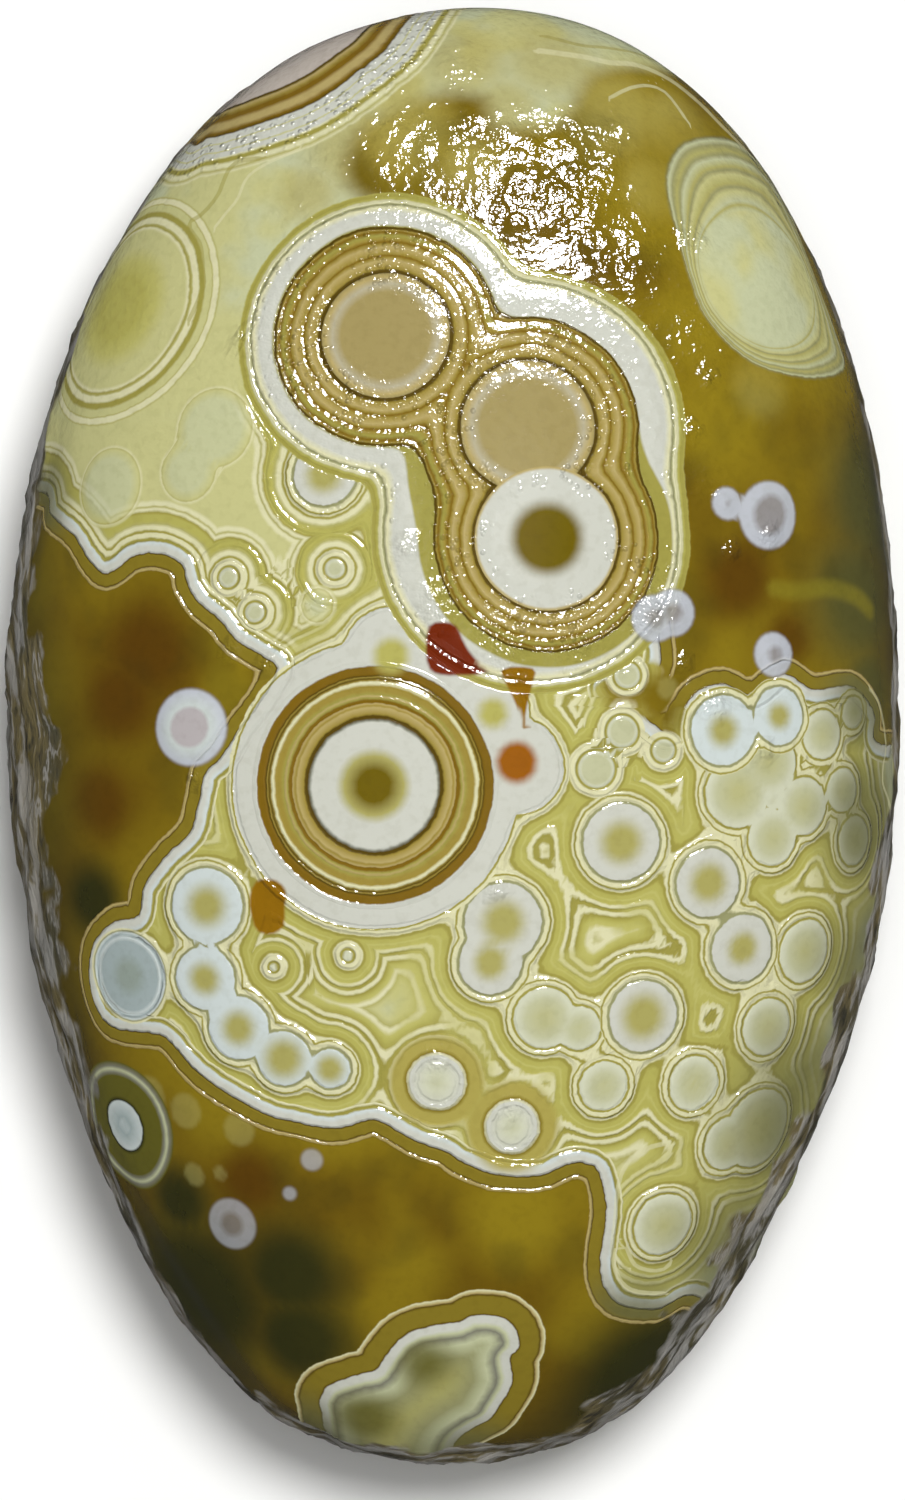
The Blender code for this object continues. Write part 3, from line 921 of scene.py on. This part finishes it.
def chart_pattern(chart):
    """Every field of the pattern, by name."""
    across, along = chart.plan.T
    turn = chart.points[:, :2] / HALF_SIZE[:2]
    turn /= np.maximum(np.linalg.norm(turn, axis=1), 0.001)[:, None]
    eyes = WHITE_EYES + UNDER_EYES
    fields = {
        "white_gap": chart.gap(eyes),
        "white_pupil": chart.pupil(eyes),
        "chain_gap": chart.gap(CHAIN_EYES),
        "chain_pupil": chart.pupil(CHAIN_EYES),
        "pale_gap": chart.gap(PALE_DISCS),
        "halo_gap": chart.gap(HALO_DISCS),
        "bubble_gap": chart.gap(BUBBLES),
        "seed_gap": chart.gap(SEEDS),
        "blue": chart.reach(BLUE_DISC[0]),
        "body_gap": chart.gap(WHITE_BODIES),
        "body_pupil": chart.gap(BODY_PUPILS),
        "orange_gap": chart.gap(ORANGE_PUPIL),
        "great": chart.reach(GREAT_EYE[0]),
        "trio_disc": chart.gap(TRIO_DISCS),
        "trio_line": chart.rounded_gap(TRIO_LINE),
        "trio_edge": chart.rounded_gap(TRIO_EDGE),
        "trio_rim": chart.rounded_gap(TRIO_OUTLINE),
        "peach_gap": chart.gap(TRIO_DISCS[:2]),
        "third": chart.reach(TRIO_DISCS[2]),
        "left": chart.reach(LEFT_EYE[0]),
        "corner": chart.outside(CORNER_EDGE),
        "upper_disc": chart.gap(UPPER_EYE),
        "upper_edge": chart.outside(UPPER_ZONE),
        "rim_eye": chart.reach(RIM_EYE[0]),
        "end": chart.outside(END_BODY),
        "end_ball": chart.gap(END_BALLS),
        "lavender_gap": chart.gap(LAVENDER_DISCS),
        "grey_gap": chart.gap(GREY_DISCS),
        "lilac_gap": chart.gap(LILAC_DISC),
        "shadow_gap": chart.gap(SHADOW_RINGS),
        "red_gap": chart.outside(RED_PATCH),
        "drip_gap": chart.outside(DRIP),
        "rust_gap": chart.outside(RUST_PATCH),
        "streak": chart.beside(FLASH, 1.0)[1],
        "brown": chart.spots(CLOUD_BROWN),
        "dark": chart.spots(CLOUD_DARK),
        "green": chart.spots(CLOUD_GREEN),
        "gold": chart.spots(CLOUD_GOLD),
        "glow": chart.spots(CLOUD_GLOW),
        "flank": rough_flank(chart),
        "rim": chart.points[:, 2] - WIDEST_LINE / MM,
        "turn_across": turn[:, 0] * GIRTH,
        "turn_along": turn[:, 1] * GIRTH,
        "cloudy": chart.cloud(4.6, 3),
        "deep": chart.cloud(2.4, 3),
        "patches": chart.cloud(2.6, 3),
        "frayed": chart.cloud(1.6, 3),
        "dusk": chart.spots(RIM_SHADE),
        "gilding": chart.spots(GILDING),
        "plates": chart.spots(PLATES),
        "grit": chart.spots(PLATES + GRIT),
        "spray": chart.spots(SPRAY),
        "breaks": np.maximum(chart.spots(EDGE_BREAKS), smooth_step(16.4, 17.2, along)),
        "quiet": smooth_step(2.0, 4.5, along) * smooth_step(0.0, -2.0, across),
        "plain": smooth_step(10.6, 12.2, along),
        "zone": np.minimum(chart.outside(PALE_EDGE), chart.gap(UNDER_EYES) - UNDER_HALO),
    }
    for name, eyes in (("seed", SEEDS), ("grey", GREY_DISCS)):
        ways, fields[f"{name}_radius"] = chart.nearest(eyes)
        chart.keep_vectors(f"{name}_way", ways)
    fields["cream_side"], fields["cream_off"] = chart.lines(CREAM_LINES)
    fields["olive_side"], fields["olive_off"] = chart.lines(OLIVE_LINES)
    rims = [fields[f"{rim}_gap"] for rim in ("white", "chain", "pale", "halo", "body")]
    rims += [fields["blue"] - 1.65, fields["trio_rim"]]
    fields["eye_gap"] = chart.softened(reduce(np.minimum, rims))
    fields["beads"] = bead_share(fields, along)
    fields["grit"] = grit_share(fields, along)
    return fields


def grit_share(fields, along):
    """Where the surface is finely pitted: the upper half most of all, but hardly the triple eye's discs."""
    grit = np.maximum(fields["grit"], 0.5 * smooth_step(6.0, 12.0, along))
    grit *= 1 - 0.75 * smooth_step(-0.3, -1.1, fields["trio_disc"])
    return np.maximum(grit, 2.2 * fields["spray"])


def bead_share(fields, along):
    """Where fine beads stand: along the rims and lines, most of all on the upper half."""
    rims = smooth_step(0.16, 0.04, np.abs(fields["eye_gap"] + 0.1))
    rims = np.maximum(rims, smooth_step(0.2, 0.05, np.abs(fields["trio_rim"] + 0.05)))
    inside = (fields["trio_line"] < 0) * (fields["trio_disc"] > -0.5)
    rings = inside * smooth_step(0.42, 0.56, fields["frayed"])
    band = smooth_step(0.0, 0.2, fields["corner"]) * smooth_step(1.6, 1.2, fields["corner"])
    upper = 0.35 + 0.65 * smooth_step(-2.0, 6.0, along)
    return np.maximum(rims * smooth_step(0.42, 0.56, fields["frayed"]), np.maximum(rings, band)) * upper


def carved_height(chart, fields):
    """How far the stone's forms stand out from its smooth surface, in millimetres."""
    small = reduce(np.minimum, [fields[f"{rim}_gap"] for rim in SMALL_EYES])
    gaps = {**fields, "small_gap": small}
    domes = [tall * smooth_step(start, full, gaps[name]) for name, tall, start, full in DOMES]
    edge_line = smooth_step(EDGE_LINE_REACH, 0.0, np.abs(fields["zone"] - EDGE_LINE_PLACE))
    height = np.maximum(reduce(np.maximum, domes), EDGE_LINE_HEIGHT * edge_line * (1 - fields["breaks"]))
    band = np.clip(-fields["trio_rim"], 0, 1) * (fields["trio_edge"] > 0)
    height += TRIO_BAND_HEIGHT * band * (1 - band)
    for index in np.flatnonzero(fields["plates"] > 0):
        height[index] += fields["plates"][index] * plate_height(chart.places[index])
    rough = smooth_step(*RIDGES_FROM, fields["flank"])
    for index in np.flatnonzero(rough > 0):
        turn = fields["turn_across"][index], fields["turn_along"][index]
        height[index] += RIDGE_HEIGHT * rough[index] * ridge_share(turn, fields["flank"][index])
    return height * smooth_step(*CARVED_FROM, chart.points[:, 2])


def plate_height(place):
    """How high the hammered plates stand here, each one leaning its own way."""
    place = Vector(place) / PLATE_SIZE
    distances, middles = noise.voronoi(place)
    lean = noise.noise_vector(middles[0] * PLATE_SHUFFLE).dot(place - middles[0]) * PLATE_LEAN
    return (PLATE_HEIGHT + lean) * smooth_step(*PLATE_SEAM, distances[1] - distances[0])


def ridge_share(turn, depth):
    """How high the crust's ridges stand this way round the stone and this far down its flank, up to 1."""
    place = Vector((turn[0] * RIDGE_LENGTHENING, depth, turn[1] * RIDGE_LENGTHENING)) / RIDGE_SIZE
    return max(0.0, 1 - 2 * abs(noise.fractal(place, 0.9, 2.1, 3)))


def amber_stone(fields, tints):
    """The clear stone: amber with golden, red-brown, green and dark clouds, and painted shade down the
    flanks.
    """
    colour = (fields.cloudy.rise(0.3, 0.9) * 0.7).blend(tints.amber, tints.golden)
    colour = (fields.zone.rise(2.6, 0.3) * 0.4).blend(colour, tints.golden)
    for name, tint, strength in CLOUDS:
        colour = (getattr(fields, name) * strength).blend(colour, getattr(tints, tint))
    colour = (fields.streak.rise(0.5, 0.1) * 0.6).blend(colour, tints.streak)
    # Dark clouds deep in the stone, and painted shade: darker down the flanks towards the rough crust
    shade = (fields.deep.rise(0.5, 0.2) * 0.25).larger(fields.flank.rise(-2.4, 0.4) * 0.6)
    colour = shade.blend(colour, tints.dark_green)
    return (fields.shadow_gap.rise(0.05, -0.2) * 0.3).blend(colour, tints.soft_olive)


def pale_stone(fields, tints):
    """The pale stone round the eyes: cream and olive lines that follow the eyes' rims outwards."""
    lively = fields.eye_gap.rings(tints, LIVELY_LINES)
    faded = fields.patches.rise(0.45, 0.65) * fields.eye_gap.rise(0.1, 0.6) * 0.55
    quiet = fields.eye_gap.smaller(-0.62 - fields.zone).rings(tints, QUIET_LINES)
    lines = fields.quiet.blend(faded.blend(lively, tints.yellow), quiet)
    plain = fields.patches.rise(0.35, 0.65).blend(tints.pale, tints.pale_green)
    colour = fields.plain.blend(lines, plain)
    return (fields.gilding * 0.6).blend(colour, tints.gilding)


def zone_layer(colour, fields, tints):
    """The pale zone over the clear stone, with its white line and olive band."""
    zone = fields.zone
    shown = fields.breaks.rise(0.55, 0.2)
    cover = shown.between(zone.rise(0.5, -0.6), zone.rise(0.02, -0.02))
    colour = cover.blend(colour, pale_stone(fields, tints))
    band = zone.rise(-0.61, -0.57) * zone.rise(0.63, 0.57) * shown
    return band.blend(colour, zone.rings(tints, EDGE_BANDS))


def left_rings(colour, fields, tints):
    """The ring systems that run over the rim at the upper left."""
    left = fields.left
    shown = left.rise(4.32, 4.2) * fields.zone.rise(0.02, -0.02)
    colour = shown.blend(colour, left.rings(tints, LEFT_RINGS))
    return fields.corner.rise(1.8, 1.65).blend(colour, fields.corner.rings(tints, CORNER_BANDS))


def upper_right(colour, fields, tints):
    """The pale eye at the upper right, with nested rings between its disc and its zone's edge."""
    disc, edge = fields.upper_disc.larger(0.0), fields.upper_edge.smaller(-0.01)
    glow = fields.upper_edge.rise(1.9, 0.1) * 0.6
    colour = glow.blend(colour, tints.golden)
    rings = (disc / (disc - edge)).rings(tints, UPPER_RINGS)
    colour = (fields.upper_edge.rise(0.1, -0.1) * 0.9).blend(colour, rings)
    pale = fields.patches.rise(0.35, 0.65).blend(tints.pale, tints.pale_green)
    return covered(colour, fields.upper_disc, pale, 0.12)


def small_eyes(colour, fields, tints):
    """Bubbles, discs, seeds and white eyes, from the lowest to the topmost."""
    bubbles = fields.bubble_gap.rings(tints, BUBBLE_RIM)
    colour = (fields.bubble_gap.rise(0.04, -0.04) * 0.7).blend(colour, bubbles)
    colour = fields.halo_gap.rise(0.85, 0.4).blend(colour, fields.halo_gap.rings(tints, HALO_RIM))
    colour = covered(colour, fields.seed_gap, fields.seed_gap.rings(tints, SEED_RIM))
    colour = covered(colour, fields.pale_gap, fields.pale_gap.rings(tints, PALE_RIM))
    colour = fields.blue.rise(1.67, 1.63).blend(colour, fields.blue.rings(tints, BLUE_RINGS))
    chain = fields.chain_gap.rings(tints, CHAIN_RIM)
    chain = fields.chain_pupil.rise(1.5, 0.4).blend(chain, tints.olive_pupil)
    colour = covered(colour, fields.chain_gap, chain)
    white = fields.white_pupil.rise(1.5, 0.5).blend(fields.white_gap.rings(tints, EYE_RIM), tints.olive_pupil)
    return covered(colour, fields.white_gap, white)


def great_eye(colour, fields, tints):
    """The great eye and the white bodies that crowd round it."""
    colour = covered(colour, fields.body_gap, fields.body_gap.rings(tints, BODY_RIM))
    colour = fields.great.rise(4.06, 4.03).blend(colour, fields.great.rings(tints, GREAT_RINGS))
    colour = covered(colour, fields.body_pupil, tints.gap, 0.25)
    return covered(colour, fields.orange_gap, tints.orange, 0.2)


def trio_share(fields):
    """How far between the triple eye's discs, at 0, and the dark line round its rings, at 1."""
    return fields.trio_disc / (fields.trio_disc - fields.trio_line)


def triple_eye(colour, fields, tints):
    """Three discs side by side, inside gold and brown rings that run round all of them."""
    rim = fields.trio_rim
    colour = rim.rise(0.6, 0.52).blend(colour, rim.rings(tints, TRIO_MARGIN))
    colour = covered(colour, fields.trio_edge, tints.olive, 0.06)
    colour = covered(colour, fields.trio_line, trio_share(fields).rings(tints, TRIO_RINGS))
    colour = covered(colour, fields.peach_gap, fields.peach_gap.rings(tints, PEACH_RIM))
    body = fields.third.rise(1.5, 0.9).blend(tints.white, tints.pupil)
    body = fields.third.rise(2.3, 2.42).blend(body, tints.tan)
    return fields.third.rise(2.47, 2.42).blend(colour, body)


def rim_systems(colour, fields, tints):
    """The ring systems at the lower left rim and at the narrow end."""
    colour = fields.rim_eye.rise(2.36, 2.28).blend(colour, fields.rim_eye.rings(tints, RIM_RINGS))
    colour = fields.end.rise(1.0, 0.94).blend(colour, fields.end.rings(tints, END_BANDS))
    ball = fields.end_ball.rise(0.1, -1.3) * fields.end.rise(-0.2, -0.5) * 0.85
    return ball.blend(colour, tints.dark_olive)


def floating_discs(colour, fields, tints):
    """Lavender and grey discs in the clear stone, mineral patches and stray lines."""
    for name, strength, rim in (
        ("grey_gap", 0.45, LAVENDER_RIM), ("lilac_gap", 0.9, LILAC_RIM), ("lavender_gap", 0.85, LAVENDER_RIM),
    ):
        gap = getattr(fields, name)
        colour = (gap.rise(0.06, -0.1) * strength).blend(colour, gap.rings(tints, rim))
    for name, tint in (("cream", tints.cream), ("olive", tints.olive)):
        side, off = getattr(fields, f"{name}_side"), getattr(fields, f"{name}_off")
        colour = (side.size().rise(1.3, 0.7) * off.rise(0.3, 0.2) * 0.55).blend(colour, tint)
    colour = covered(colour, fields.rust_gap, tints.rust, 0.08)
    colour = covered(colour, fields.red_gap, tints.red, 0.08)
    return covered(colour, fields.drip_gap, tints.rust, 0.06)


def painted_rim_shade(colour, fields, tints):
    """Painted shade: the pale stone darker towards the rim."""
    pale = fields.zone.smaller(fields.end - 0.4).rise(0.6, 0.3)
    return (fields.dusk * pale * 0.8).blend(colour, tints.dusk)


def rough_colour(fields, wrinkles, tints):
    """The dull crust of the rough flank: dark cracks, silver-grey wrinkles, and a painted floor reflection.
    """
    dull = fields.patches.rise(0.35, 0.65).blend(tints.dull, tints.earth)
    crust = wrinkles.rise(0.31, 0.42).blend(tints.crack, dull)
    threads = (wrinkles - 0.53).size().rise(0.05, 0.01) * 0.6
    # Painted reflection: a lighter streaky strip round the widest line, where the flank mirrors the floor
    rim_sheen = fields.rim.rise(-1.6, 0.4) * fields.rim.rise(3.4, 1.8)
    # Silver-grey wrinkles together with the painted reflection strip
    silver = threads.larger(rim_sheen * wrinkles.rise(0.44, 0.56) * 0.75)
    return silver.blend(crust, tints.crust)


def line_heights(fields):
    """The grooves and crests of the pattern's lines, from 0 to 1."""
    inside = fields.zone.rise(0.05, -0.05).larger(fields.eye_gap.rise(0.05, -0.05))
    height = (inside * fields.plain.rise(1.0, 0.0)).between(0.4, fields.eye_gap.heights(EYE_HEIGHTS))
    band = fields.zone.rise(-0.61, -0.57) * fields.zone.rise(0.66, 0.6) * fields.breaks.rise(0.55, 0.2)
    height = band.between(height, fields.zone.heights(EDGE_HEIGHTS))
    height = fields.great.rise(4.2, 4.16).between(height, fields.great.heights(GREAT_HEIGHTS))
    height = fields.trio_rim.rise(0.6, 0.55).between(height, fields.trio_rim.heights(MARGIN_HEIGHTS))
    rings = fields.trio_line.rise(0.02, -0.02) * fields.trio_disc.rise(-0.02, 0.02)
    return rings.between(height, trio_share(fields).heights(TRIO_HEIGHTS))


class AGATE_OT_shape(bpy.types.Operator):
    """Shape the stone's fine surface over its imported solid"""

    bl_idname = "agate.shape"
    bl_label = "Shape stone"

    def execute(self, context):
        target = smooth_solid(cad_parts[SOLID])
        piece = blown_block(context.scene.agate_shape)
        wrap = piece.modifiers.new("Wrap", "SHRINKWRAP")
        wrap.target = target
        wrap.wrap_method = "NEAREST_SURFACEPOINT"
        bpy.ops.object.modifier_apply(modifier=wrap.name)
        bpy.data.objects.remove(target)
        piece.data.shade_smooth()
        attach(piece, "root")
        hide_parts(SOLID)
        return {"FINISHED"}


def pick_only(obj):
    for other in bpy.context.selected_objects:
        other.select_set(False)
    obj.select_set(True)
    bpy.context.view_layer.objects.active = obj


def smooth_solid(node):
    """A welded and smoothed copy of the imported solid, to wrap the stone's fine surface on."""
    copy = node.copy()
    copy.data = node.data.copy()
    copy.name = "solid_copy"
    copy.parent = None
    bpy.context.scene.collection.objects.link(copy)
    pick_only(copy)
    bpy.ops.object.mode_set(mode="EDIT")
    bpy.ops.mesh.select_all(action="SELECT")
    bpy.ops.mesh.remove_doubles(threshold=WELD)
    bpy.ops.object.mode_set(mode="OBJECT")
    smooth = copy.modifiers.new("Smooth", "SUBSURF")
    smooth.levels = smooth.render_levels = 2
    bpy.ops.object.modifier_apply(modifier=smooth.name)
    return copy


def blown_block(shape):
    """A block of even faces, blown up into a ball that is crowded with faces on top, at the solid's size."""
    low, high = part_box(SOLID)
    bpy.ops.object.select_all(action="DESELECT")
    bpy.ops.mesh.primitive_cube_add(size=2)
    piece = bpy.context.object
    piece.name = piece.data.name = PIECE
    bpy.ops.object.mode_set(mode="EDIT")
    bpy.ops.mesh.select_mode(type="EDGE")
    for axis, cells in enumerate(shape.cells):
        select_edges_along(piece, axis)
        bpy.ops.mesh.subdivide(number_cuts=cells - 1)
    bpy.ops.object.mode_set(mode="OBJECT")
    places = read_places(piece)
    unfold(piece, places)
    for axis in range(2):
        places[:, axis] = np.tan(places[:, axis] * math.atan(1 / BLOCK_HEIGHT)) * BLOCK_HEIGHT
    places[:, 2] = np.tan(places[:, 2] * math.atan(BLOCK_HEIGHT))
    directions = places / np.linalg.norm(places, axis=1)[:, None]
    directions[:, 2] += shape.crowding
    directions /= np.linalg.norm(directions, axis=1)[:, None]
    middle = np.array((low + high) / 2)
    write_places(piece, middle + directions * np.array((high - low) / 2))
    return piece


def unfold(piece, block):
    """Spreads the block's sides over its map, the top one largest."""
    mesh = piece.data
    corners = np.empty(len(mesh.loops), np.int32)
    mesh.loops.foreach_get("vertex_index", corners)
    sides = (block[corners].reshape(-1, 4, 3) + 1) / 2
    middles = sides.mean(axis=1)
    flat = np.zeros((len(sides), 4, 2))
    for axis, upward, across, along, left, low, width, height in UNFOLDING:
        chosen = middles[:, axis] > 0.9999 if upward else middles[:, axis] < 0.0001
        flat[chosen, :, 0] = left + sides[chosen][:, :, across] * width
        flat[chosen, :, 1] = low + sides[chosen][:, :, along] * height
    mesh.uv_layers[0].name = "OFBake"
    mesh.uv_layers[0].data.foreach_set("uv", flat.astype(np.float32).ravel())


def select_edges_along(piece, axis):
    bpy.ops.mesh.select_all(action="DESELECT")
    bpy.ops.object.mode_set(mode="OBJECT")
    places = read_places(piece)
    ends = np.empty(len(piece.data.edges) * 2, np.int32)
    piece.data.edges.foreach_get("vertices", ends)
    spans = np.abs(places[ends[0::2]] - places[ends[1::2]])
    along = spans.argmax(axis=1) == axis
    piece.data.edges.foreach_set("select", along)
    bpy.ops.object.mode_set(mode="EDIT")


def read_places(piece):
    flat = np.empty(len(piece.data.vertices) * 3, np.float32)
    piece.data.vertices.foreach_get("co", flat)
    return flat.reshape(-1, 3).astype(float)


def write_places(piece, places):
    piece.data.vertices.foreach_set("co", np.asarray(places, np.float32).ravel())
    piece.data.update()


class AGATE_OT_chart(bpy.types.Operator):
    """Chart the eyes, edges and clouds of the pattern on the stone's points"""

    bl_idname = "agate.chart"
    bl_label = "Chart pattern"

    def execute(self, context):
        chart = Chart(bpy.data.objects[PIECE])
        fields = chart_pattern(chart)
        chart.keep(fields)
        carve(chart.piece, carved_height(chart, fields) * MM, context.scene.agate_shape.relief)
        return {"FINISHED"}


def carve(piece, heights, tallest):
    """Raises the piece's points by the heights."""
    group = piece.vertex_groups.new(name="carving")
    for index in np.flatnonzero(heights > 0):
        group.add([int(index)], min(1.0, heights[index] / tallest), "REPLACE")
    raised = piece.modifiers.new("Carve", "DISPLACE")
    raised.vertex_group = group.name
    raised.direction = "NORMAL"
    raised.mid_level = 0.0
    raised.strength = tallest
    pick_only(piece)
    bpy.ops.object.modifier_apply(modifier=raised.name)
    piece.vertex_groups.clear()


class AGATE_OT_band(bpy.types.Operator):
    """Give the stone its bands, eyes, clouds and gloss"""

    bl_idname = "agate.band"
    bl_label = "Band stone"

    def execute(self, context):
        piece = bpy.data.objects[PIECE]
        tints = context.scene.agate_colours
        material = bpy.data.materials.new("banded_agate")
        material.use_nodes = True
        tree = material.node_tree
        gloss = tree.nodes["Principled BSDF"]
        fields = Fields(tree, piece)
        tree.links.new(banded_colour(fields, tints).socket, gloss.inputs["Base Color"])
        tree.links.new(gloss_bump(fields).socket, gloss.inputs["Normal"])
        gloss.inputs["Roughness"].default_value = GLOSS_ROUGHNESS
        gloss.inputs["IOR"].default_value = AGATE_IOR
        rough = crust_share(fields)
        layers = {0: rough, 1: Flow(tree, gloss.outputs[0]), 2: rough_crust(fields, tints)}
        mixed = rough.node("ShaderNodeMixShader", {}, layers)
        tree.links.new(mixed.socket, tree.nodes["Material Output"].inputs["Surface"])
        piece.data.materials.clear()
        piece.data.materials.append(material)
        return {"FINISHED"}


def banded_colour(fields, tints):
    """The stone's colour, layer over layer, with a fine speckle."""
    colour = amber_stone(fields, tints)
    for layer in (
        zone_layer, left_rings, upper_right, small_eyes, great_eye,
        triple_eye, rim_systems, painted_rim_shade, floating_discs,
    ):
        colour = layer(colour, fields, tints)
    return (fields.grain.rise(0.45, 0.7) * 0.3).blend(colour, colour.scaled(*SPECKLE_TONE))


def gloss_bump(fields):
    """The fine relief of the glossy stone: its lines, grit and beads."""
    spots = fields.place.node("ShaderNodeTexVoronoi", {}, {"Vector": fields.place, "Scale": BEADS_PER_MM})
    beads = spots.rise(*BEAD_EDGE)
    grit = fields.grain * (fields.grit * MOST_GRIT + LEAST_GRIT)
    height = line_heights(fields) * LINE_DEPTH + grit + beads * fields.beads * BEAD_DEPTH
    return height.node("ShaderNodeBump", {}, {"Height": height, "Distance": MM})


def crust_share(fields):
    """1 on the rough crust and 0 on the glossy stone, with a frayed edge and windows lower down."""
    ragged = fields.flank + (fields.frayed - 0.5) * FRAYING
    windows = fields.deep.rise(0.5, 0.62) * fields.flank.rise(1.8, 3.0)
    return ragged.rise(-0.1, 0.3) * ragged.rise(8.0, 4.0) * (1 - windows * 0.85)


def rough_crust(fields, tints):
    """The crust's own shader, with wrinkles drawn out round the stone."""
    drawn_out = {
        0: fields.turn_across * CRUST_LENGTHENING, 1: fields.flank, 2: fields.turn_along * CRUST_LENGTHENING}
    wrinkles = fields.place.node("ShaderNodeCombineXYZ", {}, drawn_out).noise(CRUST_GRAIN, 4.0, 0.6)
    bump = wrinkles.node("ShaderNodeBump", {}, {"Height": wrinkles * CRUST_DEPTH, "Distance": MM})
    colour = rough_colour(fields, wrinkles, tints)
    sockets = {"Base Color": colour, "Normal": bump, "Roughness": CRUST_ROUGHNESS, "IOR": CRUST_IOR}
    return bump.node("ShaderNodeBsdfPrincipled", {}, sockets)


class AGATE_OT_stage(bpy.types.Operator):
    """Lay the floor, hang the lights and set the camera"""

    bl_idname = "agate.stage"
    bl_label = "Set stage"

    def execute(self, context):
        stage = context.scene.agate_stage
        bpy.ops.object.select_all(action="DESELECT")
        bpy.ops.mesh.primitive_plane_add(size=FLOOR_SIZE)
        floor = context.object
        floor.name = "floor"
        paint = bpy.data.materials.new("floor_paint")
        paint.use_nodes = True
        shader = paint.node_tree.nodes["Principled BSDF"]
        shader.inputs["Base Color"].default_value = (*stage.floor, 1)
        shader.inputs["Roughness"].default_value = FLOOR_ROUGHNESS
        floor.data.materials.append(paint)
        floor.visible_glossy = False
        world = bpy.data.worlds.new("studio")
        world.use_nodes = True
        sky = world.node_tree.nodes["Background"]
        sky.inputs["Color"].default_value = (1, 1, 1, 1)
        sky.inputs["Strength"].default_value = WORLD_STRENGTH
        context.scene.world = world
        context.scene.view_settings.view_transform = "Standard"
        add_camera(context)
        add_area("soft", *SOFT_LIGHT, stage.soft_power).visible_glossy = False
        add_area("fill", *FILL_LIGHT, stage.fill_power).visible_glossy = False
        add_area("spark", *SPARK_LIGHT, stage.spark_power).visible_diffuse = False
        return {"FINISHED"}


def add_area(name, place, size, power):
    data = bpy.data.lights.new(name, "AREA")
    data.shape = "DISK"
    data.size = size
    data.energy = power
    light = bpy.data.objects.new(name, data)
    light.location = place
    light.rotation_euler = (-Vector(place)).to_track_quat("-Z", "Y").to_euler()
    bpy.context.scene.collection.objects.link(light)
    return light


def add_camera(context):
    data = bpy.data.cameras.new("camera")
    data.lens = LENS
    data.sensor_width = SENSOR
    camera = bpy.data.objects.new("camera", data)
    camera.location = VIEWPOINT
    context.scene.collection.objects.link(camera)
    context.scene.camera = camera


class AGATE_PT_panel(bpy.types.Panel):
    """Steps that make the agate, in order"""

    bl_label = "Gobi agate"
    bl_idname = "AGATE_PT_panel"
    bl_space_type = "VIEW_3D"
    bl_region_type = "UI"
    bl_category = "Agate"

    def draw(self, context):
        for step in STEPS:
            self.layout.operator(step.bl_idname)
        for group in (context.scene.agate_shape, context.scene.agate_colours, context.scene.agate_stage):
            box = self.layout.box()
            for key in group.__annotations__:
                box.prop(group, key)


STEPS = (AGATE_OT_shape, AGATE_OT_chart, AGATE_OT_band, AGATE_OT_stage)
CLASSES = (AgateShape, AgateColours, AgateStage, *STEPS, AGATE_PT_panel)
GROUPS = {"agate_shape": AgateShape, "agate_colours": AgateColours, "agate_stage": AgateStage}


def register():
    for cls in CLASSES:
        bpy.utils.register_class(cls)
    for key, group in GROUPS.items():
        setattr(bpy.types.Scene, key, PointerProperty(type=group))


def unregister():
    for key in GROUPS:
        delattr(bpy.types.Scene, key)
    for cls in reversed(CLASSES):
        bpy.utils.unregister_class(cls)


def main():
    register()
    bpy.ops.agate.shape()
    bpy.ops.agate.chart()
    bpy.ops.agate.band()
    bpy.ops.agate.stage()


if __name__ == "__main__":
    main()
